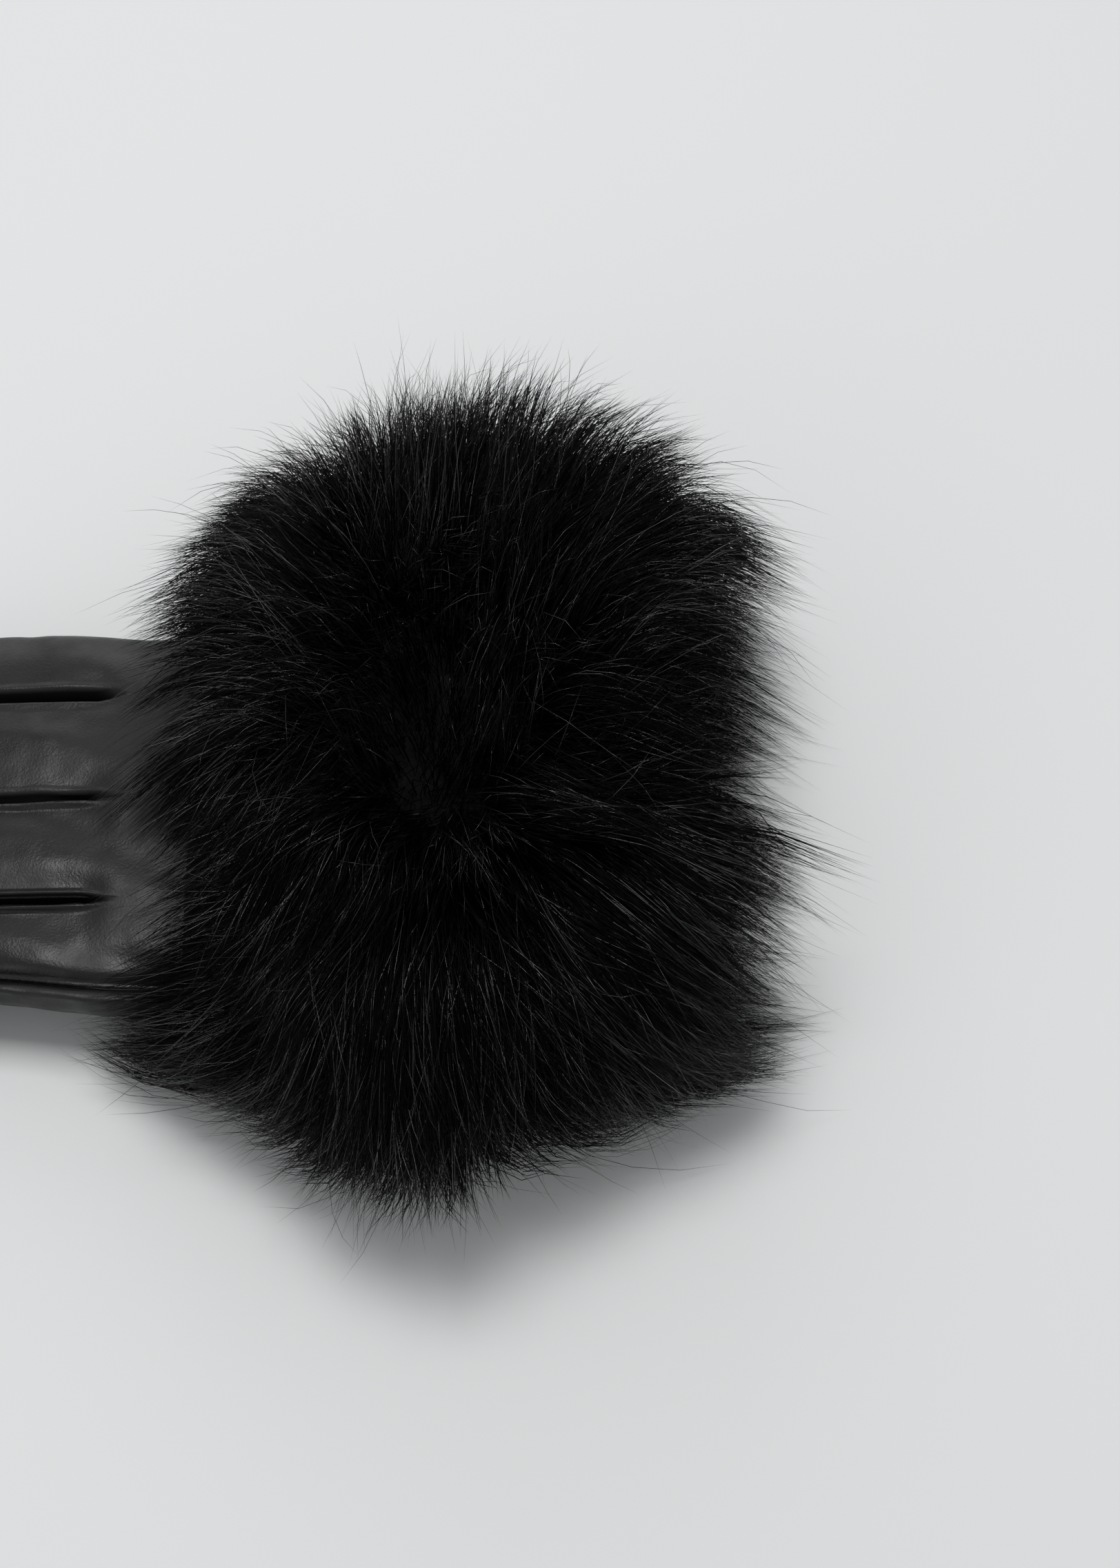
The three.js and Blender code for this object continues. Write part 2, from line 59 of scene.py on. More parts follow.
# %% From the glove's own millimetres to the frame's metres
MM = 0.001
HAND_BACK_LOWEST_X = -195.26
HAND_BACK_HIGHEST_Y = 47.055
hand_low, hand_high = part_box("hand_back")
MOVE = np.array([hand_low.x / MM - HAND_BACK_LOWEST_X, hand_high.y / MM - HAND_BACK_HIGHEST_Y, 0.0])
print("moved by", MOVE.round(3), "mm")


def to_frame(points):
    """Glove millimetres to frame metres: add the move, then divide by a thousand."""
    return (np.asarray(points, float) + MOVE) * MM


# %% Small sums that every shape uses
def mix(a, b, share):
    """A straight step from a to b: a + (b - a) * share."""
    return a + (b - a) * share


def ease(share):
    """A smooth step from 0 to 1: 3s^2 - 2s^3, level at both ends."""
    share = np.clip(share, 0.0, 1.0)
    return share * share * (3.0 - 2.0 * share)


def signed_power(value, power):
    """The power of the size of a value, with its sign kept, for squared ovals."""
    return np.sign(value) * np.abs(value) ** power


def unit(vectors):
    """Vectors brought to length 1."""
    length = np.linalg.norm(vectors, axis=-1, keepdims=True)
    return vectors / np.maximum(length, 1e-9)


def column(rows, x, index, spread=5.0):
    """One column of a table at any x: straight lines between its rows, with the corners rounded
    off by averaging the value a little before, at and a little after x."""
    table = np.asarray(rows, float)
    table = table[np.argsort(table[:, 0])]
    values = [np.interp(x + shift, table[:, 0], table[:, index]) for shift in (-spread, 0.0, spread)]
    return values[0] * 0.25 + values[1] * 0.5 + values[2] * 0.25


def ripples(points, wavelength, seed, waves=9):
    """Smooth unevenness from -1 to 1: a sum of sine waves in seeded random directions, of about
    one wavelength, worked out for all the points at once."""
    dice = np.random.default_rng(seed)
    points = np.asarray(points, float)
    directions = unit(dice.normal(size=(waves, points.shape[-1])))
    numbers = 2 * np.pi / (wavelength * dice.uniform(0.7, 1.5, waves))
    phases = dice.uniform(0, 2 * np.pi, waves)
    total = np.sin(points @ (directions * numbers[:, None]).T + phases).sum(-1)
    return np.clip(total / np.sqrt(waves), -1.6, 1.6) / 1.6


# %% Arrays into meshes
def grid_quads(rows, columns, wrap=False):
    """The four corners of each face of a grid of rows by columns, numbered row by row. With
    wrap, the last column is joined to the first."""
    across = columns if wrap else columns - 1
    r, c = np.meshgrid(np.arange(rows - 1), np.arange(across), indexing="ij")
    start, right = r * columns + c, r * columns + (c + 1) % columns
    return np.stack([start, right, right + columns, start + columns], -1).reshape(-1, 4)


def new_piece(name, points, quads, triangles=None, smooth=True):
    """A mesh object at the origin from arrays in glove millimetres."""
    triangles = np.zeros((0, 3), int) if triangles is None else triangles
    corners = np.concatenate([quads.ravel(), triangles.ravel()])
    sizes = np.concatenate([np.full(len(quads), 4), np.full(len(triangles), 3)])
    mesh = bpy.data.meshes.new(name)
    mesh.vertices.add(len(points))
    mesh.vertices.foreach_set("co", to_frame(points).ravel())
    mesh.loops.add(len(corners))
    mesh.loops.foreach_set("vertex_index", corners)
    mesh.polygons.add(len(sizes))
    mesh.polygons.foreach_set("loop_start", np.concatenate([[0], np.cumsum(sizes)[:-1]]))
    mesh.polygons.foreach_set("use_smooth", np.full(len(sizes), smooth))
    mesh.update(calc_edges=True)
    piece = bpy.data.objects.new(name, mesh)
    bpy.context.scene.collection.objects.link(piece)
    return piece


def finish_piece(piece, material, slot, *nodes):
    """Gives a piece its material, lets it ride on the body and stand for its nodes. The slot is not
    used.
    """
    piece.data.materials.append(material)
    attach(piece, "root")
    if nodes:
        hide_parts(*nodes)
    piece.data.calc_loop_triangles()
    print(piece.name, len(piece.data.loop_triangles), "triangles before modifiers")
    return piece


# %% [markdown]
# ## Camera, floor and light
#
# The glove lies on a pale surface and is seen from about 60 degrees above it, from the side of
# the little finger. A long lens keeps the cuff and the hand in nearly true proportion. Soft
# light comes from above and behind, so that the shadow falls softly towards the camera.

# %% Camera
CAMERA_AIM = np.array([24.0, 19.0, 0.0])
CAMERA_DISTANCE = 690.0
CAMERA_ELEVATION = np.radians(60.0)
CAMERA_LENS = 75.0

back_to_camera = np.array([0.0, -np.cos(CAMERA_ELEVATION), np.sin(CAMERA_ELEVATION)])
camera = bpy.data.objects.new("camera", bpy.data.cameras.new("camera"))
bpy.context.scene.collection.objects.link(camera)
camera.location = to_frame(CAMERA_AIM + back_to_camera * CAMERA_DISTANCE)
camera.rotation_euler = (np.pi / 2 - CAMERA_ELEVATION, 0.0, 0.0)
camera.data.lens = CAMERA_LENS
camera.data.clip_start = 0.01
bpy.context.scene.camera = camera


# %% Node helpers
def new_material(name):
    """An empty node material with its Principled shader and output joined."""
    material = bpy.data.materials.new(name)
    material.use_nodes = True
    shader = next(n for n in material.node_tree.nodes if n.type == "BSDF_PRINCIPLED")
    return material, material.node_tree, shader


def add_node(tree, kind, **values):
    """A node with its settings, or its input sockets by name, given as key words."""
    node = tree.nodes.new(kind)
    for key, value in values.items():
        if hasattr(node, key):
            setattr(node, key, value)
        else:
            node.inputs[key.replace("_", " ")].default_value = value
    return node


def feed(tree, socket, value):
    """A node's output is linked to the socket, and anything else is set on it."""
    if isinstance(value, bpy.types.NodeSocket):
        tree.links.new(value, socket)
    else:
        socket.default_value = value


def from_coordinates(tree, vector, kind, **values):
    """A texture node that reads the given coordinates."""
    texture = add_node(tree, kind, **values)
    tree.links.new(vector, texture.inputs["Vector"])
    return texture


def between_colours(tree, share, first, second):
    """The colour that lies between two others by a share from 0 to 1."""
    node = add_node(tree, "ShaderNodeMix", data_type="RGBA")
    feed(tree, node.inputs["Factor"], share)
    feed(tree, node.inputs[6], first)
    feed(tree, node.inputs[7], second)
    return node.outputs[2]


def sums(tree, operation, *values, **settings):
    """The result of a Math node for its values."""
    node = add_node(tree, "ShaderNodeMath", operation=operation, **settings)
    for socket, value in zip(node.inputs, values):
        feed(tree, socket, value)
    return node.outputs[0]


def bumped(tree, shader, height, strength, distance):
    """Lets a height raise the shader's surface, by a strength and a distance in metres."""
    bump = add_node(tree, "ShaderNodeBump", Strength=strength, Distance=distance)
    feed(tree, bump.inputs["Height"], height)
    tree.links.new(bump.outputs["Normal"], shader.inputs["Normal"])


def set_finish(shader, roughness, specular):
    """The finish that is the same all over a surface."""
    shader.inputs["Roughness"].default_value = roughness
    shader.inputs["Specular IOR Level"].default_value = specular


# %% Floor
FLOOR_HALF_SIZE = 3000.0
FLOOR_COLOUR = (0.83, 0.842, 0.842, 1.0)

side = FLOOR_HALF_SIZE
floor_points = np.array([[-side, -side, 0], [side, -side, 0], [side, side, 0], [-side, side, 0]])
floor = new_piece("floor", floor_points, np.array([[0, 1, 2, 3]]), smooth=False)
floor_paint, _, floor_shader = new_material("pale_surface")
floor_shader.inputs["Base Color"].default_value = FLOOR_COLOUR
set_finish(floor_shader, roughness=0.9, specular=0.1)
floor.data.materials.append(floor_paint)

# %% Light
SKY_COLOUR = (0.97, 0.985, 1.0, 1.0)
SKY_STRENGTH = 0.36
KEY_PLACE = np.array([-60.0, 150.0, 1250.0])
KEY_SIZE = 0.5
KEY_POWER = 8.0
BACK_PLACE = np.array([-300.0, 1500.0, 650.0])
BACK_SIZE = 1.1
BACK_POWER = 3.5
FRONT_PLACE = np.array([-900.0, -900.0, 500.0])
FRONT_SIZE = 0.9
FRONT_POWER = 1.7

world = bpy.data.worlds.new("studio")
world.use_nodes = True
sky = next(n for n in world.node_tree.nodes if n.type == "BACKGROUND")
sky.inputs["Color"].default_value = SKY_COLOUR
sky.inputs["Strength"].default_value = SKY_STRENGTH
bpy.context.scene.world = world
bpy.context.scene.view_settings.view_transform = "Standard"


def soft_light(name, place, size, power):
    """A square area light that points at the middle of the glove."""
    lamp = bpy.data.lights.new(name, "AREA")
    lamp.size = size
    lamp.energy = power
    light = bpy.data.objects.new(name, lamp)
    bpy.context.scene.collection.objects.link(light)
    light.location = to_frame(place)
    light.rotation_euler = light.location.to_track_quat("Z", "Y").to_euler()
    return light


soft_light("key_light", KEY_PLACE, KEY_SIZE, KEY_POWER)
soft_light("back_light", BACK_PLACE, BACK_SIZE, BACK_POWER)
soft_light("front_light", FRONT_PLACE, FRONT_SIZE, FRONT_POWER)
print("camera", [round(v, 3) for v in camera.location])

# %% [markdown]
# ## The leather hand
#
# The real hand is five flat pieces of thin leather sewn into a tube that ends in four fingers.
# The same surface can be worked out as lanes: one lane for each finger on the back, one on the
# palm, and a side strip between two fingers. A lane is a grid. Its first rows lie on the squared
# oval of the hand, and past the crotch they change smoothly into the squared oval of the finger.
# Neighbouring lanes share their edge on the hand, so they are welded into one panel.

# %% The hand's and the fingers' measures
HAND = [  # x, far side, near side, bottom, top
    (-17.5, 41.5, 45.0, 8.8, 26.4),
    (-37.5, 42.5, 45.4, 8.8, 26.8),
    (-57.5, 43.2, 44.0, 8.8, 26.9),
    (-69.5, 43.7, 42.9, 8.8, 26.7),
    (-80.0, 44.0, 41.4, 8.8, 26.3),
    (-91.5, 44.2, 40.6, 8.8, 25.6),
    (-98.0, 44.2, 41.0, 8.8, 24.9),
    (-108.0, 44.1, 42.0, 8.5, 23.4),
    (-118.0, 44.0, 42.2, 7.7, 21.8),
]
HAND_SQUARENESS = 2.5
HEM_X = -17.5
FINGERS = [  # from the index finger: root x, y, tip x, y, width at each end, thickness at each end
    (-110.0, 33.2, -183.5, 37.2, 21.6, 20.8, 15.0, 12.6),
    (-115.0, 11.0, -195.5, 12.4, 21.6, 20.8, 15.2, 12.8),
    (-110.0, -11.2, -187.5, -12.4, 21.2, 20.4, 14.8, 12.4),
    (-103.0, -32.4, -165.5, -36.4, 20.2, 19.2, 14.0, 11.6),
]
FINGER_SQUARENESS = 2.3
FINGER_TIP_ROUND = 12.0
FINGER_ROOT_BOTTOM = 7.8
FINGER_FLAT_FROM = 0.75
FLOOR_PRESS = 0.4
JOIN = [  # x, height of the join at the far side, at the near side
    (0.0, 14.6, 22.4),
    (-57.5, 14.4, 22.2),
    (-91.5, 14.0, 21.2),
    (-106.0, 14.2, 15.8),
    (-130.0, 13.0, 9.2),
    (-150.0, 9.6, 5.6),
    (-175.0, 6.2, 6.0),
    (-205.0, 6.0, 6.0),
]
POINT_LINES_Y = (26.0, 1.0, -22.0)
CROTCH_Y = (22.1, -0.2, -22.05)
EDGE_X = (-108.0, -113.5, -117.5, -108.5, -101.0)
POINT_TURNS_FROM = -95.0
WALL = 1.5


# %% Squared ovals
def hand_oval(x):
    """The hand's section at x: its middle in y and z, and its two half sizes."""
    far, near = column(HAND, x, 1), column(HAND, x, 2)
    low, high = column(HAND, x, 3), column(HAND, x, 4)
    return (far - near) / 2, (high + low) / 2, (far + near) / 2, (high - low) / 2


def finger_oval(finger, x):
    """A finger's section at x, and how far it has closed: 1 on the tube and 0 at the tip, by the
    curve of a quarter circle."""
    root_x, root_y, tip_x, tip_y, wide0, wide1, thick0, thick1 = finger
    share = (x - root_x) / (tip_x - root_x)
    wide = mix(wide0, wide1, np.maximum(share, 0))
    thick = mix(thick0, thick1, np.maximum(share, 0))
    left = np.clip((x - tip_x) / FINGER_TIP_ROUND, 0, 1)
    close = np.sqrt(np.maximum(1 - (1 - left) ** 2, 0))
    slope = np.minimum(share / FINGER_FLAT_FROM, 1)
    bottom = mix(FINGER_ROOT_BOTTOM, -FLOOR_PRESS, slope)
    return mix(root_y, tip_y, share), bottom + thick / 2, wide / 2, thick / 2, close


def oval_point(oval, angle, squareness):
    """A point of a squared oval and the way out from it, as y and z: the cosine and sine of the
    angle to the power 2 / squareness, times the half sizes."""
    y, z, half_y, half_z = oval[:4]
    c, s = np.cos(angle), np.sin(angle)
    power = 2 / squareness
    point = np.stack([y + half_y * signed_power(c, power), z + half_z * signed_power(s, power)], -1)
    out = np.stack([signed_power(c, 2 - power) / half_y, signed_power(s, 2 - power) / half_z], -1)
    return point, unit(out)


def angle_at_height(oval, height, squareness):
    """The angle on the +Y half of a squared oval where it has a given height."""
    share = np.clip((height - oval[1]) / oval[3], -0.999, 0.999)
    return np.arcsin(signed_power(share, squareness / 2))


def angle_at_y(oval, y, squareness):
    """The angle on the upper half of a squared oval where it has a given y."""
    share = np.clip((y - oval[0]) / oval[2], -0.999, 0.999)
    return np.arccos(signed_power(share, squareness / 2))


# %% The edges between the lanes
STRIP_HALF_HEIGHT = 3.6
STRIP_TIP_HALF_HEIGHT = 0.7
STRIP_TAPER = (4.0, 20.0)


def gap_y(gap, x):
    """The y of the raised line on the back, which turns to the crotch at its end."""
    share = ease((POINT_TURNS_FROM - x) / (POINT_TURNS_FROM - EDGE_X[gap + 1]))
    return mix(POINT_LINES_Y[gap], CROTCH_Y[gap], share)


def hand_edges(x, below):
    """The five angles that part the hand's oval at x into four lanes, from the far join to the
    near join over the back, or over the palm."""
    oval = hand_oval(x)
    far = angle_at_height(oval, column(JOIN, x, 1), HAND_SQUARENESS)
    near = np.pi - angle_at_height(oval, column(JOIN, x, 2), HAND_SQUARENESS)
    inner = [angle_at_y(oval, gap_y(gap, x), HAND_SQUARENESS) for gap in range(3)]
    if below:
        return [far, *[-angle for angle in inner], near - 2 * np.pi]
    return [far, *inner, near]


def finger_edges(number, x, below):
    """The two angles of a finger's back or palm panel: at a side strip's edge on the inner sides,
    and at the join on the outer side of the first and the last finger."""
    oval = finger_oval(FINGERS[number], x)
    from_tip = x - FINGERS[number][2]
    taper = ease((from_tip - STRIP_TAPER[0]) / (STRIP_TAPER[1] - STRIP_TAPER[0]))
    height = mix(STRIP_TIP_HALF_HEIGHT, STRIP_HALF_HEIGHT, taper)
    strip = angle_at_height(oval, oval[1] + height, FINGER_SQUARENESS)
    sign = -1 if below else 1
    first, last = sign * strip, sign * (np.pi - strip)
    if number == 0:
        first = angle_at_height(oval, column(JOIN, x, 1), FINGER_SQUARENESS)
    if number == 3:
        near = np.pi - angle_at_height(oval, column(JOIN, x, 2), FINGER_SQUARENESS)
        last = near - 2 * np.pi if below else near
    return first, last


# %% [markdown]
# ## Raised lines, seams and soft creases
#
# The three lines on the back are narrow tucks: two small ridges with a stitched slot between
# them. The seams are where two cut edges are turned in, so each panel dips at its edge and
# swells just beside it. They are part of the surface, because a bump alone would not show in the
# outline. The leather between them is never quite flat, so slow waves are added as well.

# %% How far the surface stands out from its oval
POINT_X = (-64.0, -72.0, -103.0, -109.0)
POINT_SHAPES = [  # ridge height, apart and width, slot width and depth, from the index finger
    (0.4, 2.1, 0.7, 1.15, 3.0),
    (1.5, 1.5, 0.5, 0.85, 3.0),
    (1.5, 1.5, 0.5, 0.85, 2.6),
]
POINT_END_SHARE = 0.25
SLOT_SHADE_WIDTH = 1.2
POINT_DIP_WIDTH = 6.5
POINT_DIP = 1.1
SEAM_WIDTH = 0.8
SEAM_DEPTH = 0.75
SEAM_SWELL = 0.25
SWELL_OFFSET = 1.76
JOIN_DEPTH = 0.2
VALLEY_WIDTH = 2.6
VALLEY_DEPTH = 1.5
VALLEY_OFFSET = 2.0
WELT_OFFSET = 1.5
WELT_HEIGHT = 1.7
WELT_WIDTH = 0.65
WELT_WAVER, WELT_WAVER_LENGTH = 0.45, 19.0
WELT_SWELL, WELT_SWELL_LENGTH = 0.25, 9.0
PUCKER_LENGTH = 3.4
PUCKER_HEIGHT = 0.3
PUCKER_WIDTH = 5.0
PUCKER_START = 1.5
FAR_SIDE_CALM = 0.25
FAR_SIDE_WIDTH = 9.0
FINGER_CALM = 0.5
WAVE_STRETCH = np.array([0.7, 1.0, 1.0])
BROAD_WAVES, MIDDLING_WAVES, FINE_WAVES = (0.5, 30.0), (0.36, 12.0), (0.13, 6.5)


def bell(value, width):
    """A smooth hump of height 1: e to the power of minus the square of value over width."""
    return np.exp(-((value / width) ** 2))


def steep_bell(value, width):
    """A hump with a flatter top and steeper sides: the fourth power in place of the square."""
    return np.exp(-((value / width) ** 4))


def point_strength(x):
    """1 along the tucks, easing to 0 at both of their ends."""
    start, full, fade, end = POINT_X
    return ease((start - x) / (start - full)) * (1 - ease((fade - x) / (fade - end)))


def point_relief(x, y):
    """The three tucks: two ridges and a slot, in a shallow valley, over their length in x."""
    along = point_strength(x)
    closing = mix(POINT_END_SHARE, 1.0, along)
    relief = np.zeros_like(x)
    for gap, (height, apart, width, slot_width, depth) in enumerate(POINT_SHAPES):
        away = y - gap_y(gap, x)
        ridges = height * bell(np.abs(away) - apart * closing, width)
        slot = depth * steep_bell(away, slot_width * closing)
        valley = POINT_DIP * bell(away, POINT_DIP_WIDTH)
        relief += along * (ridges - slot - valley)
    return relief


def seam_line(x, from_join):
    """The side seam below its join: a raised edge that wavers, and small puckers beyond it."""
    place = WELT_OFFSET + WELT_WAVER * ripples(x[..., None], WELT_WAVER_LENGTH, seed=14)
    tall = WELT_HEIGHT * (1 + WELT_SWELL * ripples(x[..., None], WELT_SWELL_LENGTH, seed=15))
    puckers = PUCKER_HEIGHT * ripples(x[..., None], PUCKER_LENGTH, seed=16)
    beyond = ease((from_join - WELT_OFFSET) / PUCKER_START) * bell(from_join, PUCKER_WIDTH)
    return tall * bell(from_join - place, WELT_WIDTH) + puckers * beyond


def seam_relief(away):
    """The dip at a sewn edge and the swell beside it, by the distance from the edge."""
    return SEAM_SWELL * bell(away - SWELL_OFFSET, SEAM_WIDTH) - SEAM_DEPTH * bell(away, SEAM_WIDTH)


def slow_waves(points):
    """The unevenness of soft leather that lies loose: broad waves and finer ones across them,
    each with a height and a wavelength, and the larger ones longer in x."""
    stretched = points * WAVE_STRETCH
    broad = BROAD_WAVES[0] * ripples(stretched, BROAD_WAVES[1], seed=11)
    middling = MIDDLING_WAVES[0] * ripples(stretched, MIDDLING_WAVES[1], seed=12)
    fine = FINE_WAVES[0] * ripples(points, FINE_WAVES[1], seed=13)
    return broad + middling + fine


# %% One lane of the back or the palm
HAND_ROWS = 64
FINGER_ROWS = 40
BLEND_LENGTH = 15.0
LANE_EDGE = np.array([0.0, 0.3, 0.6, 0.9, 1.2, 1.5, 1.8, 2.2, 2.8, 3.7, 5.0])
LANE_MIDDLE = 9
LANE_WIDTH = 22.0
PALM_EDGE = np.array([0.0, 0.5, 1.2, 2.2, 3.8])
TIP_CROWDING = 1.5
FLOOR_CLEARANCE = 0.05


def spaced(edge, middle):
    """Places from 0 to 1 across a lane: close together at both edges, even in the middle."""
    low = edge / LANE_WIDTH
    between = np.linspace(low[-1], 1 - low[-1], middle + 2)[1:-1]
    return np.concatenate([low, between, 1 - low[::-1]])


def lane_stations(number, places):
    """The x of each row and column: on the hand from the hem to the lane's curved end, then on
    the finger from there to its tip, closer together where the tip is round."""
    ends = mix(EDGE_X[number], EDGE_X[number + 1], ease(places))
    on_hand = np.linspace(0, 1, HAND_ROWS)[:, None]
    s = np.linspace(0, 1, FINGER_ROWS + 1)[1:, None]
    on_finger = 1 - (1 - s) ** TIP_CROWDING
    tip = FINGERS[number][2]
    x = np.concatenate([mix(HEM_X, ends, on_hand), mix(ends, tip, on_finger)])
    blend = ease((ends - x) / BLEND_LENGTH)
    return x, blend


def on_oval(x, angle, number=None):
    """Points and ways out on the hand's oval, or on a finger's, in x, y and z. A finger's rings
    close in at its tip, where the way out turns to the front."""
    if number is None:
        oval, close = hand_oval(x), np.ones_like(x)
        flat, out = oval_point(oval, angle, HAND_SQUARENESS)
    else:
        *oval, close = finger_oval(FINGERS[number], x)
        flat, out = oval_point(oval, angle, FINGER_SQUARENESS)
        middle = np.stack(np.broadcast_arrays(oval[0], oval[1]), -1)
        flat = middle + (flat - middle) * close[..., None]
    front = -np.sqrt(np.maximum(1 - close**2, 0))
    point = np.concatenate([x[..., None], flat], -1)
    return point, unit(np.concatenate([front[..., None], out * close[..., None]], -1)), close


def lane(number, below):
    """The grid of one lane: on the hand's oval, blended into the finger's past the crotch, and
    then moved out along the surface's own direction by the relief."""
    places = spaced(PALM_EDGE if below else LANE_EDGE, LANE_MIDDLE)
    x, blend = lane_stations(number, places)
    edges = hand_edges(x, below)
    hand_angle = mix(edges[number], edges[number + 1], places)
    first, last = finger_edges(number, x, below)
    on_hand, hand_out, _ = on_oval(x, hand_angle)
    on_finger, finger_out, close = on_oval(x, mix(first, last, places), number)
    weight = blend[..., None]
    points = mix(on_hand, on_finger, weight)
    out = unit(mix(hand_out, finger_out, weight))
    close = mix(1.0, close, blend)
    relief = lane_relief(number, below, places, points, blend) * close
    points = points + out * relief[..., None]
    points[..., 2] = np.maximum(points[..., 2], FLOOR_CLEARANCE)
    return points, out


def lane_relief(number, below, places, points, blend):
    """All that raises or lowers a lane: the tucks, the dips at its sewn edges and the waves."""
    x, y = points[..., 0], points[..., 1]
    from_first = places * LANE_WIDTH * np.ones_like(x)
    from_last = (1 - places) * LANE_WIDTH * np.ones_like(x)
    sewn_first = np.ones_like(x) if number == 0 else blend
    sewn_last = np.ones_like(x) if number == 3 else blend
    relief = seam_relief(from_first) * sewn_first + seam_relief(from_last) * sewn_last
    if number == 0:
        relief = seam_relief(from_last) * sewn_last - JOIN_DEPTH * bell(from_first, SEAM_WIDTH)
    if number == 3 and below:
        relief = relief + seam_line(x, from_last)
    if number == 3 and not below:
        relief = relief - VALLEY_DEPTH * bell(from_last - VALLEY_OFFSET, VALLEY_WIDTH)
    if not below:
        relief = relief + point_relief(x, y)
    waves = slow_waves(points) * mix(1.0, FINGER_CALM, blend)
    if number == 0:
        waves = waves * mix(FAR_SIDE_CALM, 1.0, ease(from_first / FAR_SIDE_WIDTH))
    return relief + waves


def slot_painted_shade(points):
    """1 at the bottom of the three slots and 0 elsewhere, where painted shade makes the leather
    darker and it is duller.
    """
    x, y = points[..., 0], points[..., 1]
    total = np.zeros_like(x)
    for gap, (_, _, _, slot_width, _) in enumerate(POINT_SHAPES):
        total += steep_bell(y - gap_y(gap, x), SLOT_SHADE_WIDTH * slot_width)
    return point_strength(x) * total


# %% Side strips between two fingers
STRIP_PLACES = np.array([0, 0.05, 0.12, 0.22, 0.36, 0.5, 0.64, 0.78, 0.88, 0.95, 1.0])
CROTCH_BOW = 2.6
CROTCH_EXTRA_HEIGHT = 6.0


def strip_side(gap, number):
    """Half of a strip: from the crotch along the inner side of one finger. At the crotch it is a
    straight line from the back to the palm that bows towards the wrist, and it changes into the
    finger's own side."""
    edge = 1.0 if number == gap else 0.0
    x, blend = lane_stations(number, np.array([edge]))
    x, blend = x[HAND_ROWS - 1 :], blend[HAND_ROWS - 1 :]
    top_angle = angle_at_y(hand_oval(x), gap_y(gap, x), HAND_SQUARENESS)
    top, top_out, _ = on_oval(x, top_angle)
    low, low_out, _ = on_oval(x, -top_angle)
    back_edges, palm_edges = finger_edges(number, x, False), finger_edges(number, x, True)
    side = 1 if number == gap else 0
    first, last = back_edges[side], palm_edges[side]
    last = last + 2 * np.pi if side else last
    k = STRIP_PLACES
    x_grid = x * np.ones_like(k)
    flat = mix(top, low, k[:, None])
    flat[..., 0] += CROTCH_BOW * np.sin(np.pi * k) * (1 - blend)
    inward = np.array([0.0, 1.0 if side == 0 else -1.0, 0.0])
    line_out = unit(mix(top_out, low_out, k[:, None]) + inward * np.sin(np.pi * k)[:, None])
    curved, curved_out, close = on_oval(x_grid, mix(first, last, k), number)
    weight = (blend * np.ones_like(k))[..., None]
    points, out = mix(flat, curved, weight), unit(mix(line_out, curved_out, weight))
    wide = 2 * STRIP_HALF_HEIGHT + CROTCH_EXTRA_HEIGHT * (1 - blend)
    dip = seam_relief(k * wide) + seam_relief((1 - k) * wide)
    closing = mix(1.0, close, blend)
    points = points + out * (dip * blend * closing)[..., None]
    points[..., 2] = np.maximum(points[..., 2], FLOOR_CLEARANCE)
    return points, out


# %% Leather pieces from their grids
WELD_DISTANCE = 0.02


def weld(piece):
    """Joins vertices that lie in the same place, so lanes become one panel and tips are closed."""
    work = bmesh.new()
    work.from_mesh(piece.data)
    bmesh.ops.remove_doubles(work, verts=work.verts, dist=WELD_DISTANCE * MM)
    bmesh.ops.dissolve_degenerate(work, edges=work.edges, dist=WELD_DISTANCE * MM)
    work.to_mesh(piece.data)
    work.free()
    piece.data.polygons.foreach_set("use_smooth", np.full(len(piece.data.polygons), True))


def outward(points, out, quads):
    """The faces of a grid, turned over if their corners run the wrong way round."""
    flat, away = points.reshape(-1, 3), out.reshape(-1, 3)
    a, b, c = flat[quads[:, 0]], flat[quads[:, 1]], flat[quads[:, 2]]
    facing = (np.cross(b - a, c - a) * away[quads[:, 0]]).sum()
    return quads if facing > 0 else quads[:, ::-1]


def thicken(piece, wall):
    """An even wall in millimetres that grows inwards from the surface."""
    solid = piece.modifiers.new("thickness", "SOLIDIFY")
    solid.thickness = wall * MM
    solid.offset = -1.0


def leather_panel(name, grids, slot_shade_masks=None):
    """Several grids as one welded panel with a wall. The masks, which say where the slots get
    their painted shade, are stored on the vertices, and the leather's material reads them."""
    all_points, all_quads, start = [], [], 0
    for points, out in grids:
        quads = outward(points, out, grid_quads(*points.shape[:2]))
        all_quads.append(quads + start)
        all_points.append(points.reshape(-1, 3))
        start += points.shape[0] * points.shape[1]
    piece = new_piece(name, np.concatenate(all_points), np.concatenate(all_quads))
    if slot_shade_masks is not None:
        layer = piece.data.attributes.new("painted_slot_shade", "FLOAT", "POINT")
        layer.data.foreach_set("value", np.concatenate([m.ravel() for m in slot_shade_masks]).astype(np.float32))
    weld(piece)
    thicken(piece, WALL)
    return piece


back_lanes = [lane(number, False) for number in range(4)]
palm_lanes = [lane(number, True) for number in range(4)]
print("back lanes", [points.shape for points, _ in back_lanes])

# %% [markdown]
# ## Black leather
#
# Glove leather is smooth and only half shiny. Seen close it has a fine pebbled grain, and from
# further off its gloss is cloudy, because the skin is not equally dense all over. Both are made
# in one node group, so that each leather piece has its own values but the same skin.

# %% The leather group
CLOUD_SCALE, PORE_SCALE, FINE_SCALE, CREASE_SCALE = 95.0, 1500.0, 2600.0, 260.0
CLOUD_FROM, CLOUD_TO = 0.35, 0.68
CLOUD_GLOSS = -0.2
CREASE_DULLNESS = 0.12
PORE_HEIGHT, CREASE_HEIGHT = 0.55, 1.6
GRAIN_STRENGTH, GRAIN_DISTANCE = 0.35, 0.00012


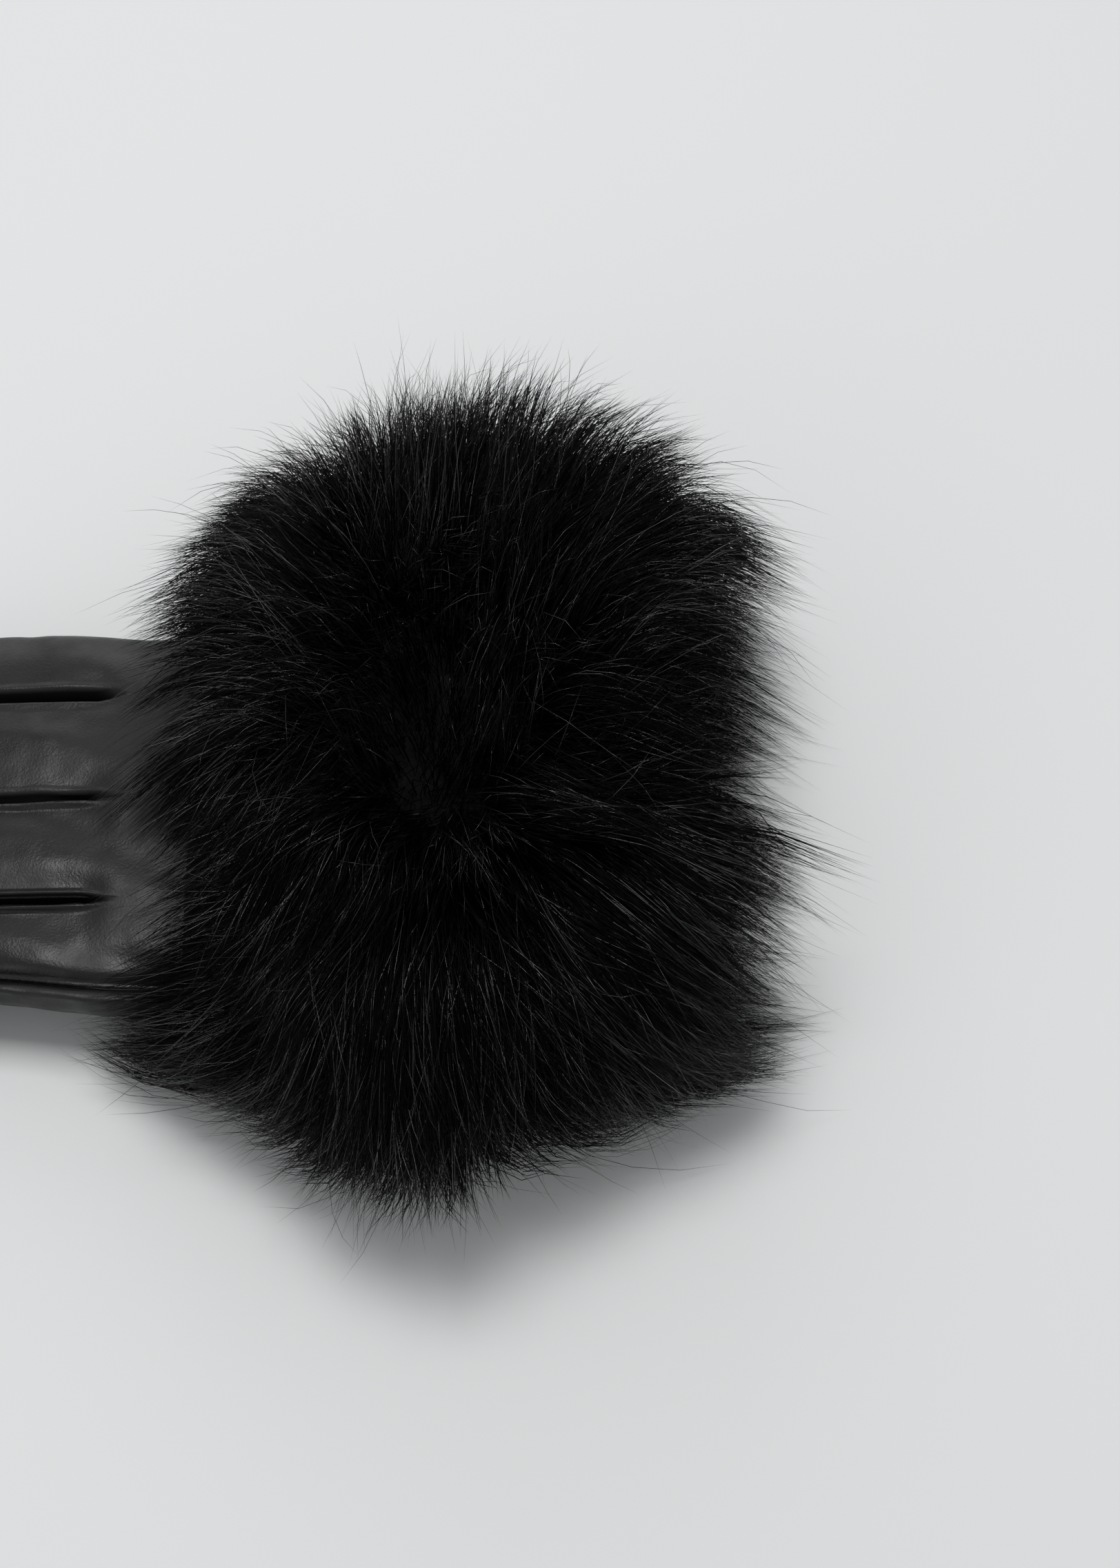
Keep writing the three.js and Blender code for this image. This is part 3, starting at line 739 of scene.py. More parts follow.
def group_socket(tree, name, kind, out=False, value=None):
    """One named input or output of a node group."""
    socket = tree.interface.new_socket(name, in_out="OUTPUT" if out else "INPUT", socket_type=kind)
    if value is not None:
        socket.default_value = value
    return socket


def make_leather_group():
    """Grain height, cloudy colour and cloudy roughness from the piece's Object coordinates."""
    tree = bpy.data.node_groups.new("glove_leather", "ShaderNodeTree")
    group_socket(tree, "Vector", "NodeSocketVector")
    group_socket(tree, "Dark", "NodeSocketColor", value=(0.008, 0.008, 0.009, 1))
    group_socket(tree, "Light", "NodeSocketColor", value=(0.03, 0.03, 0.032, 1))
    group_socket(tree, "Roughness", "NodeSocketFloat", value=0.4)
    group_socket(tree, "Color", "NodeSocketColor", out=True)
    group_socket(tree, "Roughness", "NodeSocketFloat", out=True)
    group_socket(tree, "Height", "NodeSocketFloat", out=True)
    inside, outside = tree.nodes.new("NodeGroupInput"), tree.nodes.new("NodeGroupOutput")
    place, noise = inside.outputs["Vector"], "ShaderNodeTexNoise"
    clouds = from_coordinates(tree, place, noise, Scale=CLOUD_SCALE, Detail=4.0, Roughness=0.6)
    pores = from_coordinates(tree, place, "ShaderNodeTexVoronoi", Scale=PORE_SCALE)
    fine = from_coordinates(tree, place, noise, Scale=FINE_SCALE, Detail=2.0)
    creases = from_coordinates(tree, place, noise, Scale=CREASE_SCALE, Detail=4.0, Roughness=0.6)
    spread = add_node(tree, "ShaderNodeMapRange")
    spread.inputs["From Min"].default_value = CLOUD_FROM
    spread.inputs["From Max"].default_value = CLOUD_TO
    tree.links.new(clouds.outputs["Fac"], spread.inputs["Value"])
    cloudy = spread.outputs["Result"]
    colour = between_colours(tree, cloudy, inside.outputs["Dark"], inside.outputs["Light"])
    softer = sums(tree, "MULTIPLY_ADD", cloudy, CLOUD_GLOSS, inside.outputs["Roughness"])
    rough = sums(tree, "MULTIPLY_ADD", creases.outputs["Fac"], CREASE_DULLNESS, softer)
    grain = sums(tree, "MULTIPLY_ADD", pores.outputs["Distance"], PORE_HEIGHT, fine.outputs["Fac"])
    height = sums(tree, "MULTIPLY_ADD", creases.outputs["Fac"], CREASE_HEIGHT, grain)
    tree.links.new(colour, outside.inputs["Color"])
    tree.links.new(rough, outside.inputs["Roughness"])
    tree.links.new(height, outside.inputs["Height"])
    return tree


leather_group = make_leather_group()
SLOT_DULLNESS = 0.5
# Painted shade in the slots: a near-black colour, and a specular tint that dims the reflection there.
SLOT_PAINTED_SHADE_COLOUR = (0.0008, 0.0008, 0.0009, 1.0)
WHITE = (1.0, 1.0, 1.0, 1.0)
LEATHER_SPECULAR = 0.38


def leather_material(name, dark, light, roughness):
    """Black leather: the group feeds colour, roughness and a fine bump. In the slots, painted shade
    makes the colour darker and darkens the specular tint, and the leather is duller there. The
    rest is set on the shader itself."""
    material, tree, shader = new_material(name)
    place = tree.nodes.new("ShaderNodeTexCoord")
    skin = tree.nodes.new("ShaderNodeGroup")
    skin.node_tree = leather_group
    skin.inputs["Dark"].default_value = (*dark, 1)
    skin.inputs["Light"].default_value = (*light, 1)
    skin.inputs["Roughness"].default_value = roughness
    tree.links.new(place.outputs["Object"], skin.inputs["Vector"])
    painted_slot_shade = add_node(tree, "ShaderNodeAttribute", attribute_name="painted_slot_shade").outputs["Fac"]
    colour = between_colours(tree, painted_slot_shade, skin.outputs["Color"], SLOT_PAINTED_SHADE_COLOUR)
    slot_shade_tint = between_colours(tree, painted_slot_shade, WHITE, SLOT_PAINTED_SHADE_COLOUR)
    rough = sums(tree, "MULTIPLY_ADD", painted_slot_shade, SLOT_DULLNESS, skin.outputs["Roughness"], use_clamp=True)
    tree.links.new(colour, shader.inputs["Base Color"])
    tree.links.new(slot_shade_tint, shader.inputs["Specular Tint"])
    tree.links.new(rough, shader.inputs["Roughness"])
    bumped(tree, shader, skin.outputs["Height"], GRAIN_STRENGTH, GRAIN_DISTANCE)
    shader.inputs["Specular IOR Level"].default_value = LEATHER_SPECULAR
    return material


DARK, BACK_LIGHT, PALM_LIGHT = (0.004, 0.004, 0.0044), (0.011, 0.011, 0.0115), (0.01, 0.01, 0.0105)
STRIP_DARK, STRIP_LIGHT = (0.0035, 0.0035, 0.004), (0.008, 0.008, 0.0085)
back_leather = leather_material("back_leather", DARK, BACK_LIGHT, roughness=0.42)
palm_leather = leather_material("palm_leather", DARK, PALM_LIGHT, roughness=0.48)
strip_leather = leather_material("strip_leather", STRIP_DARK, STRIP_LIGHT, roughness=0.5)
thumb_leather = leather_material("thumb_leather", DARK, PALM_LIGHT, roughness=0.48)

# %% The back, the palm and the side strips
# The slots' painted shade, stored on the back panel's vertices.
back_slot_shades = [slot_painted_shade(points) for points, _ in back_lanes]
back = leather_panel("back_panel", back_lanes, slot_shade_masks=back_slot_shades)
finish_piece(back, back_leather, "hand_leather", "hand_back")
palm = leather_panel("palm_panel", palm_lanes)
finish_piece(palm, palm_leather, "palm_leather", "hand_palm")

STRIP_NODES = ("fourchette_middle_index", "fourchette_ring_middle", "fourchette_little_ring")
for gap, node in enumerate(STRIP_NODES):
    halves = [strip_side(gap, number) for number in (gap, gap + 1)]
    strip = leather_panel("strip_" + node.split("_", 1)[1], halves)
    finish_piece(strip, strip_leather, "strip_leather", node)

# %% [markdown]
# ## Stitches
#
# The side seam is sewn with short stitches of black thread that lie in the valley beside the
# raised edge, and the three tucks have theirs at the bottom of the slot. Each stitch is a small
# six-sided bead with two points, set along a column of the panel's own grid, so it lies on the
# leather wherever the relief has taken it.

# %% Stitches along a column of a lane
STITCH_PITCH = 2.7
STITCH_HALF_LENGTH = 0.95
STITCH_RADIUS = 0.2
DIRECTION_STEP = 0.5
BEAD_SIDES = 6
BEAD_PLACES = np.array([-0.85, -0.4, 0.4, 0.85])
BEAD_SIZES = np.array([0.6, 1.0, 1.0, 0.6])


def along_way(values, way, place):
    """Values in x, y and z at any place along a way."""
    return np.stack([np.interp(place, way, values[:, axis]) for axis in range(3)], -1)


def stitch_places(grid, column_number, first_x, last_x):
    """Middles, directions and ways out of the stitches along one column, evenly spaced."""
    points, out = grid[0][:, column_number], grid[1][:, column_number]
    kept = (points[:, 0] <= first_x) & (points[:, 0] >= last_x)
    points, out = points[kept], out[kept]
    way = np.concatenate([[0], np.cumsum(np.linalg.norm(np.diff(points, axis=0), axis=1))])
    at = np.arange(STITCH_PITCH / 2, way[-1], STITCH_PITCH)
    ahead = along_way(points, way, at + DIRECTION_STEP) - along_way(points, way, at - DIRECTION_STEP)
    return along_way(points, way, at), unit(ahead), unit(along_way(out, way, at))


def stitch_beads(places):
    """All the beads as one set of points and faces: four rings of six and two tips each."""
    middle, ahead, out = places
    side = np.cross(ahead, out)
    turn = (2 * np.pi * np.arange(BEAD_SIDES) / BEAD_SIDES)[:, None]
    round_ring = out[:, None] * np.cos(turn) + side[:, None] * np.sin(turn)
    step = (BEAD_PLACES * STITCH_HALF_LENGTH)[:, None, None]
    size = (BEAD_SIZES * STITCH_RADIUS)[:, None, None]
    rings = middle[:, None, None] + ahead[:, None, None] * step + round_ring[:, None] * size
    ends = middle[:, None] + ahead[:, None] * (np.array([-1, 1]) * STITCH_HALF_LENGTH)[:, None]
    points = np.concatenate([rings.reshape(len(middle), -1, 3), ends], axis=1)
    corner, next_corner = np.arange(BEAD_SIDES), (np.arange(BEAD_SIDES) + 1) % BEAD_SIDES
    last_ring = BEAD_SIDES * (len(BEAD_PLACES) - 1)
    first_tip = np.full(BEAD_SIDES, last_ring + BEAD_SIDES)
    first = np.stack([next_corner, corner, first_tip], -1)
    last = np.stack([corner + last_ring, next_corner + last_ring, first_tip + 1], -1)
    quads = grid_quads(len(BEAD_PLACES), BEAD_SIDES, wrap=True)
    start = (np.arange(len(middle)) * points.shape[1])[:, None, None]
    quads = (quads[None] + start).reshape(-1, 4)
    tris = (np.concatenate([first, last])[None] + start).reshape(-1, 3)
    return points.reshape(-1, 3), quads, tris


def thread_material():
    """Dull black thread with a fine twist as a bump."""
    material, tree, shader = new_material("black_thread")
    place = tree.nodes.new("ShaderNodeTexCoord").outputs["Object"]
    twist = from_coordinates(tree, place, "ShaderNodeTexNoise", Scale=TWIST_SCALE, Detail=2.0)
    bumped(tree, shader, twist.outputs["Fac"], strength=0.5, distance=0.00005)
    shader.inputs["Base Color"].default_value = THREAD_COLOUR
    set_finish(shader, roughness=0.7, specular=0.3)
    return material


SEAM_COLUMN = -6
SEAM_STITCHES_X = (-30.0, -158.0)
POINT_STITCHES_X = (-72.0, -102.0)
TWIST_SCALE = 4000.0
THREAD_COLOUR = (0.012, 0.012, 0.013, 1.0)
sewn = [stitch_places(back_lanes[3], SEAM_COLUMN, *SEAM_STITCHES_X)]
for gap in range(3):
    sewn.append(stitch_places(back_lanes[gap + 1], 0, *POINT_STITCHES_X))
sewn = [np.concatenate(parts) for parts in zip(*sewn)]
stitches = new_piece("stitches", *stitch_beads(sewn))
finish_piece(stitches, thread_material(), "hand_leather")

# %% [markdown]
# ## The thumb
#
# The thumb is a flattened tube that comes down out of the palm and is folded in under it. It is
# a row of rings swept round an elbow and then along a straight path, with a round end. The
# first ring lies against the palm, so the thumb is held by what it is sewn to.

# %% The thumb's tube
THUMB_ROOT = np.array([-81.0, 31.0])
THUMB_TIP = np.array([-121.0, -3.0])
THUMB_HALF_WIDTH = (11.5, 9.5)
THUMB_HALF_HEIGHT = 4.2
THUMB_NECK = (12.3, 10.3)
THUMB_TOP = 8.7
THUMB_TIP_ROUND = 9.0
THUMB_SIDES = 40
THUMB_FAR_LIMIT = 42.0
THUMB_SEAM_TURN = np.radians(45.0)
THUMB_SEATED = 0.6
THUMB_WAVES, THUMB_WAVE_LENGTH = 0.18, 16.0
THUMB_SQUARENESS = 2.3
THUMB_WALL = 1.2
ELBOW_ROWS, TUBE_ROWS, TIP_ROWS = 12, 13, 9


def palm_underside(x, y):
    """The height of the hand's lower face over a point of the floor."""
    middle_y, middle_z, half_y, half_z = hand_oval(x)
    share = np.clip(np.abs((y - middle_y) / half_y), 0, 0.96)
    return middle_z - half_z * (1 - share**HAND_SQUARENESS) ** (1 / HAND_SQUARENESS)


def thumb_ring():
    """The side and the rise of each corner of a ring, as a squared circle of half size 1."""
    turn = 2 * np.pi * np.arange(THUMB_SIDES) / THUMB_SIDES
    power = 2 / THUMB_SQUARENESS
    return signed_power(np.cos(turn), power), signed_power(np.sin(turn), power)


def thumb_elbow(forward, across):
    """The elbow turns a ring by 90 degrees about its inner edge while it gets flatter. Its first
    rings are lifted to the palm's underside, so the seam shows no gap."""
    side, rise = thumb_ring()
    bend = np.linspace(0, np.pi / 2, ELBOW_ROWS)[:, None]
    flatter = ease(bend / (np.pi / 2))
    deep = mix(2 * THUMB_NECK[0], 2 * THUMB_HALF_HEIGHT, flatter)
    wide = mix(THUMB_NECK[1], THUMB_HALF_WIDTH[0], flatter)
    out = deep * (1 + rise) / 2
    ahead = THUMB_NECK[0] - out * np.cos(bend)
    points = (wide * side)[..., None] * across + ahead[..., None] * forward
    points[..., 2] += THUMB_TOP - out * np.sin(bend)
    points = points + np.append(THUMB_ROOT, 0.0)
    points[..., 1] = np.minimum(points[..., 1], THUMB_FAR_LIMIT)
    lift = palm_underside(points[..., 0], points[..., 1]) + THUMB_SEATED - THUMB_TOP
    points[..., 2] += np.maximum(lift, 0) * (1 - ease(bend / THUMB_SEAM_TURN))
    return points


def thumb_tube(forward, across, length):
    """The straight part narrows to the tip by the curve of a quarter circle."""
    side, rise = thumb_ring()
    reach = np.linspace(THUMB_NECK[0], length - THUMB_TIP_ROUND, TUBE_ROWS + 1)[1:, None]
    round_turn = np.linspace(0, np.pi / 2, TIP_ROWS + 1)[1:, None]
    s = np.concatenate([reach, length - THUMB_TIP_ROUND * (1 - np.sin(round_turn))])
    left = np.clip((length - s) / THUMB_TIP_ROUND, 0, 1)
    close = np.sqrt(np.maximum(1 - (1 - left) ** 2, 0.0))
    wide = mix(*THUMB_HALF_WIDTH, s / length) * close
    points = (wide * side)[..., None] * across + s[..., None] * forward
    points[..., 2] += THUMB_TOP - THUMB_HALF_HEIGHT - THUMB_HALF_HEIGHT * rise * close
    return points + np.append(THUMB_ROOT, 0.0)


def thumb_grid():
    """The rings of the elbow and the tube, with soft waves, kept under the palm and above the
    floor."""
    path = THUMB_TIP - THUMB_ROOT
    length = np.linalg.norm(path)
    forward = np.append(path / length, 0.0)
    across = np.array([-forward[1], forward[0], 0.0])
    points = np.concatenate([thumb_elbow(forward, across), thumb_tube(forward, across, length)])
    out = unit(points - points.mean(axis=1, keepdims=True))
    points = points + out * (THUMB_WAVES * ripples(points, THUMB_WAVE_LENGTH, seed=21))[..., None]
    points[..., 2] = np.maximum(points[..., 2], FLOOR_CLEARANCE)
    points[ELBOW_ROWS:, :, 2] = np.minimum(points[ELBOW_ROWS:, :, 2], THUMB_TOP)
    return points, out


thumb_points, thumb_out = thumb_grid()
thumb_quads = outward(thumb_points, thumb_out, grid_quads(*thumb_points.shape[:2], wrap=True))
thumb = new_piece("thumb_tube", thumb_points.reshape(-1, 3), thumb_quads)
weld(thumb)
thicken(thumb, THUMB_WALL)
finish_piece(thumb, thumb_leather, "thumb_leather", "thumb")

# %% [markdown]
# ## The fur cuff's body
#
# Long fur stands on a knitted band. Under the hairs that catch the light there is a dense, dark
# undercoat, and it is what closes the view between the locks. It is made as one closed ring: a
# lumpy outer face, round ends, and an inner face along the open bore.

# %% The cuff's measures
BAND = (44.5, 48.0, 5.5, 30.0)  # far side, near side, bottom, top
BAND_HALF_LENGTH = 27.5
FUR = [  # x, far side, near side, top
    (-69, 46, 48, 31),
    (-60, 57, 52, 44),
    (-42, 75, 70, 62),
    (-22, 85, 88, 76),
    (0, 92, 95, 82),
    (20, 91, 86, 82),
    (40, 86, 73, 77),
    (58, 74, 64, 66),
    (68, 59, 59, 55),
    (74, 48, 54, 46),
]
FUR_SQUARENESS = 2.2
BORE_SPREAD = 0.1
FUR_SUNK = -9.0
FUR_FIRST_X, FUR_LAST_X = -69.0, 74.0
BORE = [  # x, far side, near side, bottom, top
    (-62.0, 44.8, 47.4, 7.6, 28.6),
    (-18.2, 42.8, 46.2, 7.6, 27.8),
    (-16.8, 40.6, 43.6, 9.6, 26.2),
    (0.0, 41.5, 44.5, 8.5, 29.0),
    (27.5, 42.0, 45.0, 7.6, 31.5),
    (52.0, 42.5, 46.0, 7.6, 34.5),
    (80.0, 43.5, 47.5, 7.6, 37.5),
]


def fur_oval(x, share):
    """The cuff's oval at x: from the band at share 0 to the tips' outer form at share 1."""
    far = mix(BAND[0], column(FUR, x, 1), share)
    near = mix(BAND[1], column(FUR, x, 2), share)
    bottom = mix(BAND[2], FUR_SUNK, share)
    top = mix(BAND[3], column(FUR, x, 3), share)
    return (far - near) / 2, (top + bottom) / 2, (far + near) / 2, (top - bottom) / 2


def bore_oval(x, inset):
    """The open bore's oval at x, set in from it by a distance."""
    far, near, low, high = (column(BORE, x, i, BORE_SPREAD) for i in (1, 2, 3, 4))
    return (far - near) / 2, (high + low) / 2, (far + near) / 2 - inset, (high - low) / 2 - inset


def fur_point(x, angle, share):
    """A point of the cuff's oval in x, y and z."""
    flat, out = oval_point(fur_oval(x, share), angle, FUR_SQUARENESS)
    x = np.broadcast_to(x, flat.shape[:-1])
    return np.concatenate([x[..., None], flat], -1), out


# %% The undercoat
UNDERCOAT_SHARE = 0.5
UNDERCOAT_END_SHARE = 0.05
UNDERCOAT_FIRST_X, UNDERCOAT_LAST_X = -50.0, 46.0
UNDERCOAT_ROUND = 2.0
UNDERCOAT_SIDES = 96
UNDERCOAT_ROWS = 44
UNDERCOAT_LUMPS, UNDERCOAT_LUMP_LENGTH = 3.0, 24.0
UNDERCOAT_CLEARANCE = 0.1


def closed_ring(first, second):
    """Points and faces of a ring between two rows of rings, joined at both of their ends. The
    first row is the one that faces outwards."""
    points = np.concatenate([first, second[::-1]])
    rows, sides = points.shape[:2]
    quads = grid_quads(rows, sides, wrap=True)
    here, ahead = np.arange(sides), (np.arange(sides) + 1) % sides
    last = (rows - 1) * sides
    quads = np.concatenate([quads, np.stack([here + last, ahead + last, ahead, here], -1)])
    out = np.zeros_like(points)
    out[: len(first)] = first - first.mean(axis=1, keepdims=True)
    return points.reshape(-1, 3), outward(points, out, quads)


def undercoat_rings():
    """Rings from the hand's end to the mouth over the outside, and the same along the bore. The
    outer rings close in on the inner ones at both ends, by an ellipse."""
    turn = 2 * np.pi * np.arange(UNDERCOAT_SIDES) / UNDERCOAT_SIDES
    s = np.linspace(0, 1, UNDERCOAT_ROWS)[:, None]
    x = mix(UNDERCOAT_FIRST_X, UNDERCOAT_LAST_X, s)
    inner, _ = oval_point(bore_oval(x, 0.0), turn, HAND_SQUARENESS)
    x = x + np.zeros_like(turn)
    outer, out = fur_point(x, turn, UNDERCOAT_SHARE)
    lumps = UNDERCOAT_LUMPS * ripples(outer, UNDERCOAT_LUMP_LENGTH, seed=31)
    outer = outer[..., 1:] + out * lumps[..., None]
    round_end = np.sqrt(np.clip(1 - np.abs(2 * s - 1) ** UNDERCOAT_ROUND, 0.0, 1.0))[..., None]
    outer = mix(inner, outer, mix(UNDERCOAT_END_SHARE, 1.0, round_end))
    rings = [np.concatenate([x[..., None], flat], -1) for flat in (outer, inner)]
    for ring in rings:
        ring[..., 2] = np.maximum(ring[..., 2], UNDERCOAT_CLEARANCE)
    return rings


# %% Fur and undercoat materials
PILE_SCALE = 900.0
PILE_DARK, PILE_LIGHT = (0.0015, 0.0015, 0.0017, 1.0), (0.006, 0.006, 0.0065, 1.0)


def fur_material(name, dark, light, roughness, specular):
    """Hair: darker at the root, as painted shade for the shade deep in the pile, and lighter at the
    tip, with every hair a little different. Both come from values that are stored on the hairs."""
    material, tree, shader = new_material(name)
    tone = add_node(tree, "ShaderNodeAttribute", attribute_name="tone")
    along = add_node(tree, "ShaderNodeAttribute", attribute_name="along")
    amount = sums(tree, "MULTIPLY", tone.outputs["Fac"], along.outputs["Fac"])
    colour = between_colours(tree, amount, (*dark, 1), (*light, 1))
    tree.links.new(colour, shader.inputs["Base Color"])
    set_finish(shader, roughness, specular)
    return material


def undercoat_material():
    """The dense pile under the locks: almost black, and mottled by a fine noise."""
    material, tree, shader = new_material("undercoat_pile")
    place = tree.nodes.new("ShaderNodeTexCoord").outputs["Object"]
    noise = from_coordinates(tree, place, "ShaderNodeTexNoise", Scale=PILE_SCALE, Detail=3.0)
    mottle = noise.outputs["Fac"]
    colour = between_colours(tree, mottle, PILE_DARK, PILE_LIGHT)
    tree.links.new(colour, shader.inputs["Base Color"])
    bumped(tree, shader, mottle, strength=0.8, distance=0.0008)
    set_finish(shader, roughness=0.95, specular=0.1)
    return material


undercoat = new_piece("fur_undercoat", *closed_ring(*undercoat_rings()))
finish_piece(undercoat, undercoat_material(), "cuff_fur", "fur_cuff")

# %% [markdown]
# ## The backing inside the cuff
#
# Fur pile grows on a knitted backing, which shows only inside the mouth of the cuff. It is a thin
# closed ring just inside the bore, with the fine ribs of the knit as a bump from two waves.

# %% The knitted backing
BACKING_FROM, BACKING_TO = -14.0, 44.0
BACKING_GAP = 0.4
BACKING_WALL = 1.0
BACKING_SIDES = 96
BACKING_ROWS = 30
RIB_SCALE, RIB_DISTORTION = 420.0, 1.5
KNIT_DARK, KNIT_LIGHT = (0.003, 0.003, 0.0032, 1.0), (0.014, 0.014, 0.015, 1.0)


def backing_ring(inset):
    """A row of rings along the bore, set in from it by a distance."""
    turn = 2 * np.pi * np.arange(BACKING_SIDES) / BACKING_SIDES
    x = np.linspace(BACKING_FROM, BACKING_TO, BACKING_ROWS)[:, None]
    flat, _ = oval_point(bore_oval(x, inset), turn, HAND_SQUARENESS)
    return np.concatenate([(x + np.zeros_like(turn))[..., None], flat], -1)


def knit_material():
    """Dull black knit: ribs along the cuff and rows across it, both as a bump."""
    material, tree, shader = new_material("knitted_backing")
    place = tree.nodes.new("ShaderNodeTexCoord").outputs["Object"]
    wave = {"Scale": RIB_SCALE, "Distortion": RIB_DISTORTION}
    ribs = from_coordinates(tree, place, "ShaderNodeTexWave", bands_direction="Y", **wave)
    rows = from_coordinates(tree, place, "ShaderNodeTexWave", bands_direction="X", **wave)
    height = sums(tree, "MULTIPLY", ribs.outputs["Fac"], rows.outputs["Fac"])
    colour = between_colours(tree, height, KNIT_DARK, KNIT_LIGHT)
    tree.links.new(colour, shader.inputs["Base Color"])
    bumped(tree, shader, height, strength=0.6, distance=0.0003)
    set_finish(shader, roughness=0.9, specular=0.15)
    return material


outer_face, inner_face = backing_ring(BACKING_GAP), backing_ring(BACKING_GAP + BACKING_WALL)
backing = new_piece("cuff_backing", *closed_ring(outer_face, inner_face))
finish_piece(backing, knit_material(), "cuff_fur", "fur_cuff")

# %% [markdown]
# ## Hairs in locks
#
# Hair does not lie evenly. Some thirty hairs lean together into a lock that ends in one point,
# and locks lean together in broad drifts with dark partings between them. So each lock gets a
# root on the band and a point on the outer form, a slow pattern moves those points about, and
# each hair of the lock runs from beside the root to near the point. A hair is a thin needle with
# three sides, bent like a bow, worked out for all the hairs at once.

# %% Locks
LOCKS_ALONG, LOCKS_AROUND = 28, 52
FORM_STEPS = 200
HAIRS_PER_LOCK = 28
AROUND_FROM, AROUND_TO = np.radians(-132.0), np.radians(228.0)
UNDER_TO = np.radians(-48.0)
HIDDEN_UNDER = (-52.0, 48.0)
DRIFT_LENGTH = 30.0
DRIFT_X, DRIFT_ANGLE = 7.0, 0.14
SWEEP_LENGTH = 62.0
SWEEP_X, SWEEP_ANGLE = 9.0, 0.14
LOCK_STEP = 0.07
CROWN_HAND_END, CROWN_MOUTH = np.radians(66.0), np.radians(92.0)
COMB_NEAR, COMB_FAR = 0.62, 0.15
COMB_SPREAD = np.radians(55.0)
COMB_FADE = np.radians(36.0)
LOCK_JITTER = 0.9
LOCK_REACH, LOCK_STEP_LENGTH, LOCK_REACH_SCATTER = 0.95, 17.0, 0.03
LOCK_SCATTER_X, LOCK_SCATTER_ANGLE = 2.4, 0.04
LOCK_BOW = 3.0
GATHER, GATHER_SCATTER, GATHER_LIMITS = 0.6, 0.16, (0.15, 0.9)
fur_dice = np.random.default_rng(2024)

HOLLOWS = [  # x, angle in degrees, radius, depth: dark partings where the pile lies open
    (52.0, 97, 9, 5),
    (56.0, 112, 7, 5),
    (32.0, 126, 8, 8),
    (31.0, 97, 10, 7),
    (-23.8, 117, 9, 8),
    (-30.0, 96, 8, 6),
    (-8.0, 95, 12, 6),
    (10.0, 142, 8, 6),
    (-40.0, 150, 9, 6),
    (-20.0, 60, 9, 5),
    (25.0, 55, 9, 5),
]
HOLLOW_PUSH = 0.35
HOLLOW_WIDTH = 1.5
GLOSS_LENGTH = 20.0
GLOSS_MIDDLE, GLOSS_SWING, GLOSS_LEAST = 0.5, 0.9, 0.08
# Fewer of the lighter guard hairs near the hollows: painted shade in the partings, and a duller pile
# there.
HOLLOW_GLOSS_WIDTH = 1.7
HOLLOW_DULLNESS_AND_SHADE = 0.85
FAR_REACH, NEAR_REACH = 0.07, 0.06
FAR_FROM, NEAR_FROM = np.radians(75.0), np.radians(135.0)
REACH_EASE = np.radians(30.0)
NEAR_REACH_X, NEAR_REACH_LENGTH = 5.0, 35.0


def rows_over_form(share):
    """The x of places that are evenly spread over the outer form from one end to the other, so
    that its steep ends get as many locks for their area as its middle."""
    x = np.linspace(FUR_FIRST_X, FUR_LAST_X, FORM_STEPS)
    way = np.hypot(np.diff(x), np.diff(column(FUR, x, 3)))
    way = np.concatenate([[0.0], np.cumsum(way)])
    return np.interp(share * way[-1], way, x)


def comb(x, angle):
    """How far a hair's tip lies round the cuff from its root, in radians. The pile parts along a
    crown on the back: in front of it the hair is combed down towards the near side, and behind
    it a little towards the far side."""
    crown = mix(CROWN_HAND_END, CROWN_MOUTH, ease((x - FUR_FIRST_X) / -FUR_FIRST_X))
    near = COMB_NEAR * ease((angle - crown) / COMB_SPREAD) * ease((AROUND_TO - angle) / COMB_FADE)
    far = COMB_FAR * ease((crown - angle) / COMB_SPREAD) * ease((angle - AROUND_FROM) / COMB_FADE)
    return near - far


def lock_gloss(surface):
    """How many glossy, lighter hairs a lock gets, against the others: a slow pattern that leaves dark
    patches between bright ones, and few of them near the hollows, as painted shade in the partings."""
    pattern = ripples(surface, GLOSS_LENGTH, seed=47)
    gloss = np.clip(GLOSS_MIDDLE + GLOSS_SWING * pattern, GLOSS_LEAST, 1.0)
    for x, degrees, radius, _ in HOLLOWS:
        middle, _ = fur_point(np.array([x]), np.radians([degrees]), 1.0)
        near = bell(np.linalg.norm(surface - middle[0], axis=-1), radius * HOLLOW_GLOSS_WIDTH)
        gloss = gloss * (1 - HOLLOW_DULLNESS_AND_SHADE * near)
    return gloss


